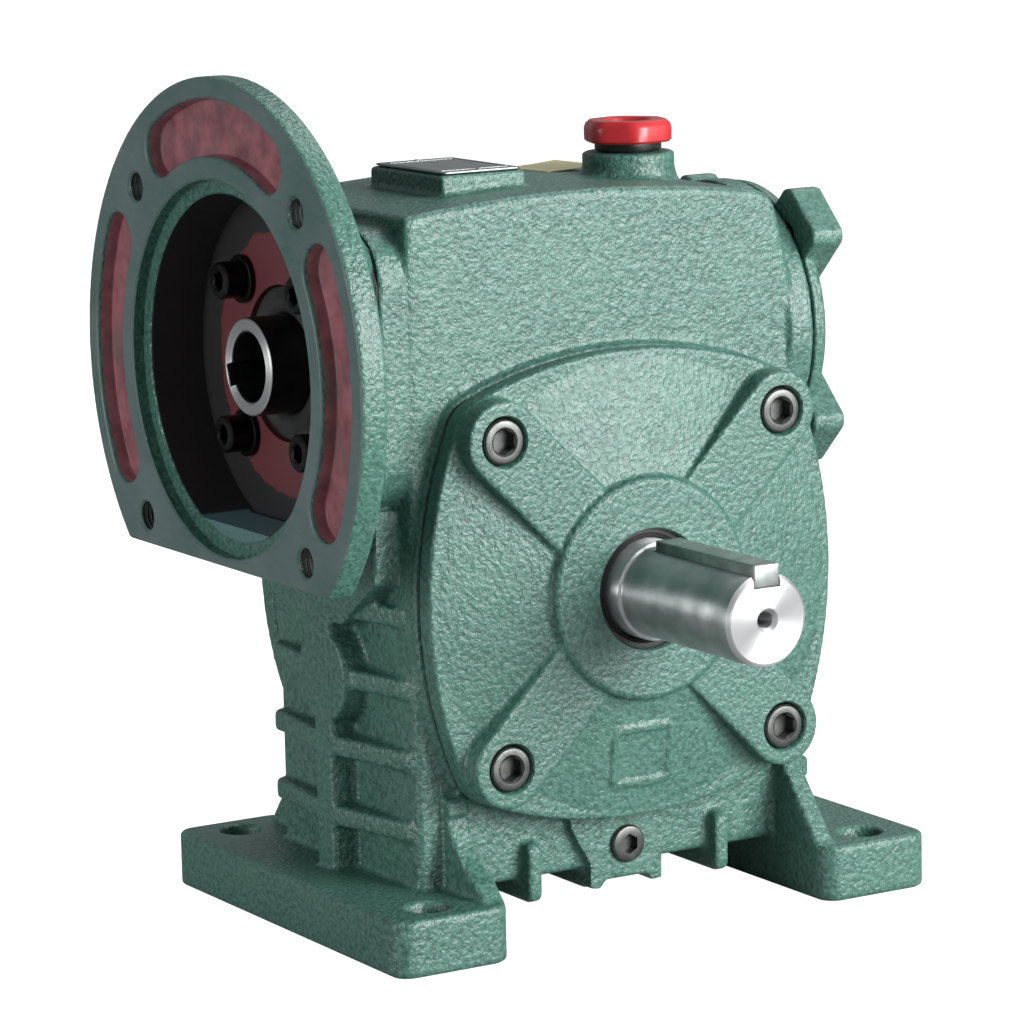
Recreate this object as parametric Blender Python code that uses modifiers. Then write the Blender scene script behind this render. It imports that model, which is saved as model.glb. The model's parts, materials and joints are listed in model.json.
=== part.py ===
"""Worm gearbox, size 80: a hollow-input worm above a bronze wheel, with a solid output shaft.

Sizes are in millimetres and become metres where a mesh is made. The gearbox's own coordinates have
the output shaft's axis at x = 0, the casing's middle plane at y = 0 and the feet's soles at z = 0.
The output shaft points to -Y and the motor flange faces -X. One empty, gearbox_frame, then moves the
whole gearbox so that the centre of its bounding box stands over the origin.
"""

import math

import bmesh
import bpy
import numpy as np
from mathutils import Matrix, Vector

MM = 0.001

# Gear pair
MODULE = 4.0
WHEEL_TEETH = 30
WORM_PITCH_R = 20.0
WHEEL_PITCH_R = MODULE * WHEEL_TEETH / 2
CENTRE_DISTANCE = WORM_PITCH_R + WHEEL_PITCH_R
LEAD = math.pi * MODULE
PRESSURE_TAN = math.tan(math.radians(20))
WORM_TIP_R = WORM_PITCH_R + MODULE
WORM_ROOT_R = WORM_PITCH_R - 1.2 * MODULE
FLANK_CLEARANCE = 0.27
THREAD_HALF_LENGTH = 28.0
THREAD_STEPS = 16
WHEEL_HALF_WIDTH = 17.0
WHEEL_OUTER_R = 66.0

# Axes
OUTPUT_Z = 120.0
INPUT_Z = OUTPUT_Z + CENTRE_DISTANCE

# Housing
BODY_LEFT, BODY_RIGHT = -82.0, 79.0
BODY_HALF_DEPTH = 49.0
BODY_BOTTOM = 18.0
CROWN_Z, CROWN_X, CROWN_R = 257.4, -12.0, 515.0
RIGHT_SIDE_START_Z, RIGHT_SIDE_R = 180.0, 230.0
TOP_CORNER_R = 6.0
EDGE_R = 4.0
INPUT_BOSS_HALF, INPUT_BOSS_CORNER_R, INPUT_BOSS_X = 48.5, 18.0, -92.0
REAR_BOSS_R, REAR_BOSS_X = 51.0, 83.5
CHAMBER_R = 68.0
CAVITY_HALF_DEPTH = 24.0
WORM_TUNNEL_R = 27.0

# Feet
FOOT_INNER, FOOT_OUTER = 65.0, 110.0
FOOT_HALF_LENGTH = 82.5
FOOT_HEIGHT = 20.0
FOOT_CORNER_R = 8.0
FOOT_HOLE_R = 7.5
FOOT_HOLE_X, FOOT_HOLE_Y = 90.0, 67.5
GUSSET_THICKNESS = 8.0

# Covers at both ends of the output shaft
COVER_BOLT = 160.0 / 2 / math.sqrt(2)
COVER_HALF = 82.5
COVER_LUG_R = 14.5
PAD_FACE = 52.0
GASKET_THICKNESS = 0.5
GAP = 0.3
COVER_BACK = PAD_FACE + GAP + GASKET_THICKNESS + GAP
COVER_RIM = 61.0
COVER_ARM = 69.5
COVER_BOSS_R, COVER_BOSS = 39.0, 72.0
COVER_SPIGOT_R = CHAMBER_R - 0.6

# Motor flange, for a 90-frame motor with a 200 mm flange
FLANGE_FACE = -128.5
FLANGE_BACK = -118.5
FLANGE_SEAT = INPUT_BOSS_X - 2 * GAP - GASKET_THICKNESS
FLANGE_R = 100.0
FLANGE_CUT = 68.5
FLANGE_BOLT_R = 165.0 / 2
FLANGE_TAP_R = 5.0
REGISTER_R, REGISTER_DEPTH = 65.0, 4.5
BELL_R, BELL_FLOOR, BELL_FLAT = 60.0, -103.0, 55.0
NECK_R = 82.0
POCKET_INNER_R, POCKET_OUTER_R, POCKET_DEPTH = 73.0, 92.5, 6.0
POCKETS_DEG = ((55, 125), (144.5, 215.5), (-34.5, 34.5))
FLANGE_SCREW = 27.0

# Shafts
OUTPUT_TIP = -142.0
OUTPUT_R, OUTPUT_SEAL_R, OUTPUT_SEAT_R, WHEEL_SEAT_R = 16.0, 17.5, 20.0, 22.5
OUTPUT_STEP = -77.0
OUTPUT_REAR = 49.5
OUTPUT_KEY_WIDTH, OUTPUT_KEY_LOW, OUTPUT_KEY_HIGH, OUTPUT_KEY_START = 10.0, 11.3, 19.0, -82.0
WORM_MOUTH = -117.0
WORM_REAR = 81.0
WORM_SHAFT_R, WORM_SEAT_R = 17.0, 17.5
WORM_BORE_R, WORM_BORE_END = 12.0, -62.0
MOTOR_KEYWAY_WIDTH, MOTOR_KEYWAY_REACH, MOTOR_KEYWAY_DEG = 8.0, 15.3, -17.0

# Rolling bearings: bore radius, outer radius, width
WORM_BEARING = (17.5, 31.0, 17.0)
OUTPUT_BEARING = (20.0, 40.0, 18.0)
WORM_BEARING_LEFT, WORM_BEARING_RIGHT = -90.0, 62.0
OUTPUT_BEARING_INNER_FACE = 31.0
WHEEL_HUB_HALF = 22.0

# Socket screws: shank, head radius, head height, socket; then the round holes that they pass
M10 = (4.6, 7.8, 9.6, 4.6)
M8 = (3.7, 6.5, 8.0, 3.4)
M10_HOLE_R, M10_TAP_R = 5.4, 5.2
M8_HOLE_R, M8_TAP_R = 4.6, 4.3

# Facets of a turn
LARGE_STEPS, ROUND_STEPS, HOLE_STEPS = 26, 20, 8

# Top and drain fittings
BREATHER_X = 39.0
BREATHER_BOSS_R, BREATHER_BOSS_TOP = 16.5, 264.0
DRAIN_Z = 26.0
LEVEL_Z = 89.0
PLATE_PAD = ((-53.0, -25.0, 250.0), (-19.0, 25.0, 263.0))

FRAME_SHIFT = Vector((9.25, 21.0, 0.0)) * MM

AXIS_TURN = {
    "X": Matrix.Rotation(math.radians(90), 4, "Y"),
    "Y": Matrix.Rotation(math.radians(-90), 4, "X"),
    "Z": Matrix.Identity(4),
}


def clear_scene():
    for old in list(bpy.data.objects):
        bpy.data.objects.remove(old)


def new_collection(name, parent=None):
    made = bpy.data.collections.new(name)
    (parent or bpy.context.scene.collection).children.link(made)
    return made


def make_material(name, colour, roughness, metallic):
    made = bpy.data.materials.new(name)
    made.use_nodes = True
    shader = made.node_tree.nodes["Principled BSDF"]
    shader.inputs["Base Color"].default_value = (*colour, 1.0)
    shader.inputs["Roughness"].default_value = roughness
    shader.inputs["Metallic"].default_value = metallic
    return made


clear_scene()
PARTS = new_collection("worm_gearbox")
CUTTERS = new_collection("cutters")
FRAME = bpy.data.objects.new("gearbox_frame", None)
FRAME.location = FRAME_SHIFT
PARTS.objects.link(FRAME)

GREEN = make_material("green_paint", (0.055, 0.15, 0.12), 0.42, 0.35)
STEEL = make_material("ground_steel", (0.32, 0.33, 0.34), 0.28, 1.0)
SCREW_STEEL = make_material("screw_steel", (0.12, 0.12, 0.125), 0.4, 1.0)
BRONZE = make_material("bronze", (0.56, 0.36, 0.14), 0.35, 1.0)
IRON = make_material("cast_iron", (0.14, 0.14, 0.145), 0.6, 0.8)
RUBBER = make_material("black_rubber", (0.012, 0.012, 0.012), 0.6, 0.0)
PAPER = make_material("gasket_paper", (0.05, 0.045, 0.04), 0.85, 0.0)
RED_PLASTIC = make_material("red_plastic", (0.55, 0.012, 0.012), 0.25, 0.0)
PLATE_METAL = make_material("plate_aluminium", (0.35, 0.37, 0.37), 0.4, 1.0)


# ---- shape helpers ----------------------------------------------------------------------------

def add_object(name, mesh, material=None, at=(0, 0, 0), turn=None):
    """A part when it has a material, and otherwise a hidden cutter or filler."""
    made = bpy.data.objects.new(name, mesh)
    (PARTS if material else CUTTERS).objects.link(made)
    made.parent = FRAME
    made.matrix_local = Matrix.Translation(Vector(at) * MM) @ (turn or Matrix.Identity(4))
    if material:
        mesh.materials.append(material)
    else:
        made.hide_render = True
        made.display_type = "WIRE"
    return made


def mesh_from(bm, name):
    bmesh.ops.recalc_face_normals(bm, faces=bm.faces)
    mesh = bpy.data.meshes.new(name)
    bm.to_mesh(mesh)
    bm.free()
    mesh.shade_smooth()
    mesh.set_sharp_from_angle(angle=math.radians(35))
    return mesh


def bevelled(obj, width, segments=1):
    bevel = obj.modifiers.new("rounded_edges", "BEVEL")
    bevel.width = width * MM
    bevel.segments = segments
    bevel.limit_method = "ANGLE"
    bevel.angle_limit = math.radians(40)
    return obj


def box(name, low, high, material=None, bevel=0):
    bm = bmesh.new()
    bmesh.ops.create_cube(bm, size=MM)
    size = [h - l for l, h in zip(low, high)]
    bmesh.ops.scale(bm, vec=size, verts=bm.verts)
    centre = [(l + h) / 2 for l, h in zip(low, high)]
    made = add_object(name, mesh_from(bm, name), material, centre)
    return bevelled(made, bevel) if bevel else made


def cylinder(name, radius, axis, at, length, sides=ROUND_STEPS):
    """A hidden cylinder from the point at along +axis."""
    bm = bmesh.new()
    bmesh.ops.create_cone(
        bm,
        cap_ends=True,
        segments=sides,
        radius1=radius * MM,
        radius2=radius * MM,
        depth=length * MM,
        matrix=Matrix.Translation((0, 0, length * MM / 2)),
    )
    return add_object(name, mesh_from(bm, name), None, at, AXIS_TURN[axis])


def turned(name, profile, axis, at, material=None, steps=ROUND_STEPS):
    """A lathe shape. profile holds (radius, place along the axis), down its outer side from the top;
    one that starts and ends off the axis is a ring, so it is closed."""
    mesh = bpy.data.meshes.new(name)
    points = [(radius * MM, 0, along * MM) for radius, along in profile]
    edges = [(i, i + 1) for i in range(len(points) - 1)]
    if profile[0][0] > 0:
        edges.append((len(points) - 1, 0))
    mesh.from_pydata(points, edges, [])
    made = add_object(name, mesh, material, at, AXIS_TURN[axis])
    screw = made.modifiers.new("turned", "SCREW")
    screw.axis = "Z"
    screw.steps = screw.render_steps = steps
    screw.use_merge_vertices = True
    screw.merge_threshold = 1e-6
    screw.use_smooth_shade = True
    return made


def prism(name, outline, axis, low, high, material=None):
    """An outline of points in the plane across axis, in the order X, Y, Z, pulled from low to high."""
    spot = "XYZ".index(axis)

    def point(pair):
        place = list(pair)
        place.insert(spot, low)
        return Vector(place) * MM

    bm = bmesh.new()
    face = bm.faces.new([bm.verts.new(point(pair)) for pair in outline])
    pulled = bmesh.ops.extrude_face_region(bm, geom=[face])["geom"]
    reach = Vector([high - low if i == spot else 0 for i in range(3)]) * MM
    bmesh.ops.translate(bm, vec=reach, verts=[v for v in pulled if isinstance(v, bmesh.types.BMVert)])
    return add_object(name, mesh_from(bm, name), material)


def loft(name, rings, material=None):
    """A closed skin through rings that hold the same number of points, capped at both ends."""
    bm = bmesh.new()
    rows = [[bm.verts.new(Vector(p) * MM) for p in ring] for ring in rings]
    count = len(rows[0])
    for row, following in zip(rows, rows[1:]):
        for i in range(count):
            j = (i + 1) % count
            bm.faces.new((row[i], row[j], following[j], following[i]))
    bm.faces.new(rows[0])
    bm.faces.new(rows[-1])
    return add_object(name, mesh_from(bm, name), material)


def combine(obj, operation, tools):
    """Joins or cuts obj with the tools, which share one cutter collection."""
    group = new_collection(f"{obj.name}_{operation.lower()}_{len(obj.modifiers)}", CUTTERS)
    for tool in tools:
        CUTTERS.objects.unlink(tool)
        group.objects.link(tool)
    boolean = obj.modifiers.new(operation.lower(), "BOOLEAN")
    boolean.operation = operation
    boolean.solver = "EXACT"
    boolean.operand_type = "COLLECTION"
    boolean.collection = group
    return obj


def arc(centre, radius, start, end, steps):
    """Points of an arc about centre, with its angles in degrees."""
    angles = [math.radians(start + (end - start) * i / steps) for i in range(steps + 1)]
    return [(centre[0] + radius * math.cos(a), centre[1] + radius * math.sin(a)) for a in angles]


def rounded_rectangle(low, high, radius, steps=2):
    points = []
    for sign_x, sign_y, start in ((1, 1, 0), (-1, 1, 90), (-1, -1, 180), (1, -1, 270)):
        corner = (
            (high[0] - radius) if sign_x > 0 else (low[0] + radius),
            (high[1] - radius) if sign_y > 0 else (low[1] + radius),
        )
        points += arc(corner, radius, start, start + 90, steps)
    return points


def square_corners(offset):
    return [(x, z) for z in (offset, -offset) for x in (-offset, offset)]


# ---- housing -----------------------------------------------------------------------------------

def body_outline():
    """The casting's front view: a flat base, a right side that leans in, and a shallow crown."""
    crown_centre = (CROWN_X, CROWN_Z - CROWN_R)
    side_centre = (BODY_RIGHT - RIGHT_SIDE_R, RIGHT_SIDE_START_Z)
    corner = (61.0, 246.0)
    left_deg = 90 + math.degrees(math.asin((CROWN_X - BODY_LEFT) / CROWN_R))
    right_deg = 90 - math.degrees(math.asin((corner[0] - CROWN_X) / CROWN_R))
    side_end = math.degrees(math.asin((corner[1] - 1 - side_centre[1]) / RIGHT_SIDE_R))
    return (
        [(BODY_LEFT, BODY_BOTTOM), (BODY_RIGHT, BODY_BOTTOM)]
        + arc(side_centre, RIGHT_SIDE_R, 0, side_end, 4)
        + arc(crown_centre, CROWN_R, right_deg, left_deg, 6)
    )


def cover_outline(grow=0.0, side_steps=4, lug_steps=3):
    """A square with bulging sides that run into a round lug about each screw."""
    lug, half = COVER_LUG_R + grow, COVER_HALF + grow
    inset = half - lug
    back = (2 * COVER_BOLT**2 - inset**2) / (2 * (inset - COVER_BOLT))
    tangent = math.degrees(math.atan2(COVER_BOLT, COVER_BOLT + back))
    points = []
    for quarter in range(4):
        turn = 90 * quarter
        cos, sin = round(math.cos(math.radians(turn))), round(math.sin(math.radians(turn)))

        def spin(x, z):
            return cos * x - sin * z, sin * x + cos * z

        points += arc(spin(-back, 0), half + back, turn - tangent, turn + tangent, side_steps)[:-1]
        points += arc(spin(COVER_BOLT, COVER_BOLT), lug, turn + tangent, turn + 90 - tangent, lug_steps)[:-1]
    return [(x, z + OUTPUT_Z) for x, z in points]


def gusset(name, x_inner, front):
    """A triangular web from the casing's face down to the foot's end."""
    side = -1 if front else 1
    outline = [(side * 44, 8), (side * 44, 52), (side * 50, 52), (side * 76, 19), (side * 76, 8)]
    return prism(name, outline, "X", x_inner, x_inner + GUSSET_THICKNESS)


def left_rib(index, z):
    """A rib that dies out at the front corner and ends in a rounded nose at the back one."""
    outline = [(-78, -47), (-82, -46), (-92, -6), (-92, 6), (-88, 38), (-86.5, 43), (-83, 45.5), (-78, 46)]
    return prism(f"left_rib_{index}", outline, "Z", z - 4, z + 4)


def right_rib(index, z):
    outline = [(75, 46), (80, 46), (86, 38), (86, -38), (84, -43), (80, -46), (75, -46)]
    return prism(f"right_rib_{index}", outline, "Z", z - 4, z + 4)


def drain_boss():
    outline = arc((0, 34), 24, 200, 240, 3) + arc((0, 34), 23, 300, 340, 3)
    return [
        prism("drain_boss", [(-25, 44)] + outline + [(25, 44)], "Y", -51.2, -40),
        box("drain_ledge", (-14, -51.2, 11), (14, -30, 22)),
    ]


def corner_lugs(name, low, high):
    """Four blocks at 45 degrees round the worm's axis, for the rear cap's screws."""
    outline = [(20, -13), (57, -13), (60, -10), (60, 10), (57, 13), (20, 13)]
    scale = 1 / math.sqrt(2)
    lugs = []
    for index, (y, z) in enumerate(square_corners(1)):
        points = [
            ((u * y - v * z) * scale, INPUT_Z + (u * z + v * y) * scale) for u, v in outline
        ]
        lugs.append(prism(f"{name}_{index}", points, "X", low, high))
    return lugs


def housing_fillers():
    made = [
        prism("pad_front", cover_outline(1.0), "Y", -PAD_FACE, -40),
        prism("pad_rear", cover_outline(1.0), "Y", 40, PAD_FACE),
        prism(
            "input_boss",
            [
                (y, z + INPUT_Z)
                for y, z in rounded_rectangle(
                    (-INPUT_BOSS_HALF, -INPUT_BOSS_HALF),
                    (INPUT_BOSS_HALF, INPUT_BOSS_HALF),
                    INPUT_BOSS_CORNER_R,
                )
            ],
            "X",
            INPUT_BOSS_X,
            -70,
        ),
        cylinder("rear_boss", REAR_BOSS_R, "X", (74, 0, INPUT_Z), REAR_BOSS_X - 74, sides=LARGE_STEPS),
        *corner_lugs("boss_lug", 70, REAR_BOSS_X),
        cylinder("breather_boss", BREATHER_BOSS_R, "Z", (BREATHER_X, 0, 240), BREATHER_BOSS_TOP - 240),
        box("plate_pad", *PLATE_PAD),
        box("left_web", (-92, -6, 16), (-70, 6, 116)),
        cylinder("left_boss", 17, "X", (-92, 0, LEVEL_Z), 20, sides=24),
        box("right_web", (70, -6, 16), (86, 6, 116)),
        cylinder("level_boss", 17, "X", (70, 0, LEVEL_Z), 18, sides=24),
    ]
    web_flare = [(-70, 112), (-92, 112), (-92, 125), (-91, 146), (-70, 152)]
    made.append(prism("left_flare", web_flare, "Y", -30, 30))
    for index, z in enumerate((40, 65, 90, 115)):
        made += [left_rib(index, z), right_rib(index, z)]
    for side, name in ((-1, "left"), (1, "right")):
        x_low, x_high = sorted((side * FOOT_INNER, side * FOOT_OUTER))
        bar = rounded_rectangle((x_low, -FOOT_HALF_LENGTH), (x_high, FOOT_HALF_LENGTH), FOOT_CORNER_R)
        made.append(prism(f"foot_{name}", bar, "Z", 0, FOOT_HEIGHT))
        inner = FOOT_INNER if side > 0 else -FOOT_INNER - GUSSET_THICKNESS
        made += [gusset(f"gusset_{name}_front", inner, True), gusset(f"gusset_{name}_rear", inner, False)]
        for place, reach, low, high in ((39, 55, 11, 31), (15, 40, 11, 22)):
            x = side * place
            made.append(box(f"fin_{name}_{place}", (x - 2.5, -reach, low), (x + 2.5, reach, high)))
    return made + drain_boss()


def screw_holes(prefix, places, axis, low, length, radius=M10_TAP_R):
    """Round cutters along +axis; each place is a point in the plane across the axis."""
    made = []
    for index, pair in enumerate(places):
        at = list(pair)
        at.insert("XYZ".index(axis), low)
        made.append(cylinder(f"{prefix}_{index}", radius, axis, at, length, sides=HOLE_STEPS))
    return made


COVER_PLACES = [(x, z + OUTPUT_Z) for x, z in square_corners(COVER_BOLT)]
FLANGE_PLACES = [(y, z + INPUT_Z) for y, z in square_corners(FLANGE_SCREW)]
CAP_PLACES = [(y, z + INPUT_Z) for y, z in square_corners(33.0)]


def housing_cutters():
    made = [
        cylinder("chamber", CHAMBER_R, "Y", (0, -60, OUTPUT_Z), 120, sides=LARGE_STEPS),
        box("sump", (-73, -CAVITY_HALF_DEPTH, 28), (70, CAVITY_HALF_DEPTH, 163)),
        box("worm_room", (-70, -CAVITY_HALF_DEPTH, 160), (59, CAVITY_HALF_DEPTH, 246)),
        cylinder("worm_tunnel", WORM_TUNNEL_R, "X", (-95, 0, INPUT_Z), 190),
        cylinder("input_seat", WORM_BEARING[1] + GAP, "X", (-95, 0, INPUT_Z), 22.3),
        cylinder("rear_seat", WORM_BEARING[1] + GAP, "X", (61.5, 0, INPUT_Z), 30),
        cylinder("breather_hole", 8.5, "Z", (BREATHER_X, 0, 240), 30, sides=16),
        cylinder("drain_hole", 5.2, "Y", (0, -60, DRAIN_Z), 38, sides=12),
        cylinder("level_hole", 8.5, "X", (65, 0, LEVEL_Z), 30, sides=16),
    ]
    for x in (-FOOT_HOLE_X, FOOT_HOLE_X):
        for y in (-FOOT_HOLE_Y, FOOT_HOLE_Y):
            made.append(cylinder(f"foot_hole_{x:.0f}_{y:.0f}", FOOT_HOLE_R, "Z", (x, y, -5), 30, sides=12))
    made += screw_holes("front_tap", COVER_PLACES, "Y", -60, 32.5)
    made += screw_holes("rear_tap", COVER_PLACES, "Y", 27.5, 32.5)
    made += screw_holes("input_tap", FLANGE_PLACES, "X", -95, 20, M8_TAP_R)
    made += screw_holes("cap_tap", CAP_PLACES, "X", 64, 25, M8_TAP_R)
    return made


def build_housing():
    body = prism("housing", body_outline(), "Y", -BODY_HALF_DEPTH, BODY_HALF_DEPTH, GREEN)
    bevelled(body, EDGE_R)
    combine(body, "UNION", housing_fillers())
    return combine(body, "DIFFERENCE", housing_cutters())


# ---- covers ------------------------------------------------------------------------------------

def build_cover(name, side, open_centre):
    """A cover with four radial arms; side is -1 at the output shaft and 1 behind."""

    def reach(low, high):
        return sorted((side * low, side * high))

    low, high = reach(COVER_BACK, COVER_RIM)
    plate = prism(name, cover_outline(), "Y", low, high, GREEN)
    fillers = []
    for index, deg in enumerate((45, 135)):
        cos, sin = math.cos(math.radians(deg)), math.sin(math.radians(deg))
        far, half = COVER_BOLT * math.sqrt(2), COVER_LUG_R - 0.3
        slot = arc((far, 0), half, -90, 90, 6) + arc((-far, 0), half, 90, 270, 6)
        turned_slot = [(u * cos - v * sin, OUTPUT_Z + u * sin + v * cos) for u, v in slot]
        low, high = reach(COVER_BACK + 2, COVER_ARM)
        fillers.append(prism(f"{name}_arm_{index}", turned_slot, "Y", low, high))
    cone = [(0, 68), (COVER_BOSS_R, 68), (78, COVER_RIM + 0.4), (78, 56), (0, 56)]
    boss = [(0, COVER_BOSS), (COVER_BOSS_R, COVER_BOSS), (COVER_BOSS_R, 56), (0, 56)]
    spigot = [
        (47.5, 56), (COVER_SPIGOT_R, 56), (COVER_SPIGOT_R, 44), (62, 44), (62, 50),
        (49, 50), (49, 33), (OUTPUT_BEARING[1] + GAP, 33), (OUTPUT_BEARING[1] + GAP, 56),
    ]
    for label, profile in (("cone", cone), ("boss", boss), ("spigot", spigot)):
        if side < 0:
            profile = [(radius, -along) for radius, along in reversed(profile)]
        fillers.append(turned(f"{name}_{label}", profile, "Y", (0, 0, OUTPUT_Z), steps=LARGE_STEPS))
    combine(plate, "UNION", fillers)
    cutters = []
    seat = OUTPUT_BEARING_INNER_FACE + OUTPUT_BEARING[2] + GAP
    low, high = reach(20, seat + 0.5)
    cutters.append(
        cylinder(f"{name}_seat", OUTPUT_BEARING[1] + GAP, "Y", (0, low, OUTPUT_Z), high - low)
    )
    low, high = reach(20, 59)
    cutters.append(cylinder(f"{name}_relief", 30, "Y", (0, low, OUTPUT_Z), high - low))
    if open_centre:
        cutters.append(cylinder(f"{name}_seal_seat", 25.3, "Y", (0, -70, OUTPUT_Z), 30))
        cutters.append(cylinder(f"{name}_mouth", 21, "Y", (0, -80, OUTPUT_Z), 40))
    low, high = reach(COVER_ARM - 10, COVER_ARM + 10)
    cutters += screw_holes(f"{name}_bore", COVER_PLACES, "Y", low, high - low, 8.5)
    low, high = reach(40, 80)
    cutters += screw_holes(f"{name}_hole", COVER_PLACES, "Y", low, high - low, M10_HOLE_R)
    return combine(plate, "DIFFERENCE", cutters)


def build_cover_gasket(name, side):
    low, high = sorted((side * (PAD_FACE + GAP), side * (PAD_FACE + GAP + GASKET_THICKNESS)))
    gasket = prism(name, cover_outline(-0.5), "Y", low, high, PAPER)
    middle = side * PAD_FACE
    cutters = [cylinder(f"{name}_opening", CHAMBER_R, "Y", (0, middle - 5, OUTPUT_Z), 10, sides=LARGE_STEPS)]
    cutters += screw_holes(f"{name}_hole", COVER_PLACES, "Y", middle - 5, 10, M10_HOLE_R)
    return combine(gasket, "DIFFERENCE", cutters)


# ---- motor flange and end cap ------------------------------------------------------------------

def neck_ring(x, blend, count=LARGE_STEPS):
    """The neck's section at x: the housing's square boss where blend is 0 and a circle where it is 1."""
    ring = []
    flat, corner = INPUT_BOSS_HALF - INPUT_BOSS_CORNER_R, INPUT_BOSS_CORNER_R
    for i in range(count):
        angle = 2 * math.pi * i / count
        cos, sin = math.cos(angle), math.sin(angle)
        reach = INPUT_BOSS_HALF / max(abs(cos), abs(sin))
        if min(abs(cos), abs(sin)) * reach > flat:
            along = flat * (abs(cos) + abs(sin))
            reach = along + math.sqrt(along**2 - 2 * flat**2 + corner**2)
        radius = reach * (1 - blend) + NECK_R * blend
        ring.append((x, radius * cos, max(INPUT_Z + radius * sin, INPUT_Z - FLANGE_CUT + 1)))
    return ring


def pocket_outline(start, end):
    """A kidney shape between two radii, with round ends."""
    middle = (POCKET_INNER_R + POCKET_OUTER_R) / 2
    half = (POCKET_OUTER_R - POCKET_INNER_R) / 2
    inset = math.degrees(half / middle)
    low, high = start + inset, end - inset

    def end_centre(deg):
        return middle * math.cos(math.radians(deg)), middle * math.sin(math.radians(deg))

    points = arc((0, 0), POCKET_OUTER_R, low, high, 5)
    points += arc(end_centre(high), half, high, high + 180, 4)[1:-1]
    points += arc((0, 0), POCKET_INNER_R, high, low, 5)
    points += arc(end_centre(low), half, low + 180, low + 360, 4)[1:-1]
    return [(y, z + INPUT_Z) for y, z in points]


def build_motor_flange():
    cut_deg = math.degrees(math.asin(FLANGE_CUT / FLANGE_R))
    outline = [(y, z + INPUT_Z) for y, z in arc((0, 0), FLANGE_R, -cut_deg, 180 + cut_deg, 30)]
    disc = prism("motor_flange", outline, "X", FLANGE_FACE, FLANGE_BACK, GREEN)
    neck = loft("flange_neck", [neck_ring(FLANGE_SEAT, 0), neck_ring(-104, 0.62), neck_ring(-120, 1.0)])
    combine(disc, "UNION", [neck])
    outside = (FLANGE_FACE - 5, 0, INPUT_Z)
    bell = cylinder("bell", BELL_R, "X", outside, BELL_FLOOR - outside[0], sides=LARGE_STEPS)
    flat = box("bell_flat", (-140, -90, 100), (-95, 90, INPUT_Z - BELL_FLAT))
    combine(bell, "DIFFERENCE", [flat])
    cutters = [
        bell,
        cylinder("register", REGISTER_R, "X", outside, REGISTER_DEPTH + 5, sides=LARGE_STEPS),
        cylinder("seal_mouth", 27.3, "X", (-110, 0, INPUT_Z), 14.9),
        cylinder("flange_bore", 23, "X", (-110, 0, INPUT_Z), 30),
    ]
    for index, (start, end) in enumerate(POCKETS_DEG):
        outline = pocket_outline(start, end)
        cutters.append(
            prism(f"pocket_{index}", outline, "X", FLANGE_FACE - 5, FLANGE_FACE + POCKET_DEPTH)
        )
    taps = [(y, z + INPUT_Z) for y, z in square_corners(FLANGE_BOLT_R / math.sqrt(2))]
    cutters += screw_holes("motor_tap", taps, "X", FLANGE_FACE - 5, 20, FLANGE_TAP_R)
    cutters += screw_holes("flange_hole", FLANGE_PLACES, "X", BELL_FLOOR - 5, 30, M8_HOLE_R)
    return combine(disc, "DIFFERENCE", cutters)


def build_flange_gasket():
    half = INPUT_BOSS_HALF - 0.5
    low = INPUT_BOSS_X - GAP - GASKET_THICKNESS
    outline = [
        (y, z + INPUT_Z) for y, z in rounded_rectangle((-half, -half), (half, half), INPUT_BOSS_CORNER_R)
    ]
    gasket = prism("flange_gasket", outline, "X", low, low + GASKET_THICKNESS, PAPER)
    cutters = [cylinder("flange_gasket_opening", WORM_BEARING[1] + GAP, "X", (-100, 0, INPUT_Z), 20)]
    cutters += screw_holes("flange_gasket_hole", FLANGE_PLACES, "X", -100, 20, M8_HOLE_R)
    return combine(gasket, "DIFFERENCE", cutters)


CAP_SEAT = REAR_BOSS_X + 2 * GAP + GASKET_THICKNESS
CAP_DISC, CAP_LUG, CAP_DOME = 91.0, 98.0, 101.0


def build_rear_cap():
    """The closed cap behind the worm, with four corner lugs for its screws."""
    cap = turned(
        "rear_cap",
        [
            (0, CAP_DOME), (18, CAP_DOME), (24, CAP_LUG), (30, CAP_DISC),
            (50, CAP_DISC), (50, CAP_SEAT), (0, CAP_SEAT),
        ],
        "X",
        (0, 0, INPUT_Z),
        GREEN,
        steps=LARGE_STEPS,
    )
    fillers = [
        turned(
            "cap_spigot",
            [(27, 88), (WORM_BEARING[1], 88), (WORM_BEARING[1], 79.8), (27, 79.8)],
            "X",
            (0, 0, INPUT_Z),
        )
    ]
    fillers += corner_lugs("cap_lug", CAP_SEAT, CAP_LUG)
    combine(cap, "UNION", fillers)
    cutters = [cylinder("cap_hollow", 26, "X", (70, 0, INPUT_Z), 26)]
    cutters += screw_holes("cap_counterbore", CAP_PLACES, "X", CAP_LUG - 6, 20, 7.6)
    cutters += screw_holes("cap_hole", CAP_PLACES, "X", 70, 40, M8_HOLE_R)
    return combine(cap, "DIFFERENCE", cutters)


def build_cap_gasket():
    low = REAR_BOSS_X + GAP
    profile = [(49.5, low + GASKET_THICKNESS), (49.5, low), (31.3, low), (31.3, low + GASKET_THICKNESS)]
    gasket = turned("rear_cap_gasket", profile, "X", (0, 0, INPUT_Z), PAPER)
    cutters = screw_holes("cap_gasket_hole", CAP_PLACES, "X", 80, 10, M8_HOLE_R)
    return combine(gasket, "DIFFERENCE", cutters)


# ---- gears -------------------------------------------------------------------------------------

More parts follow.
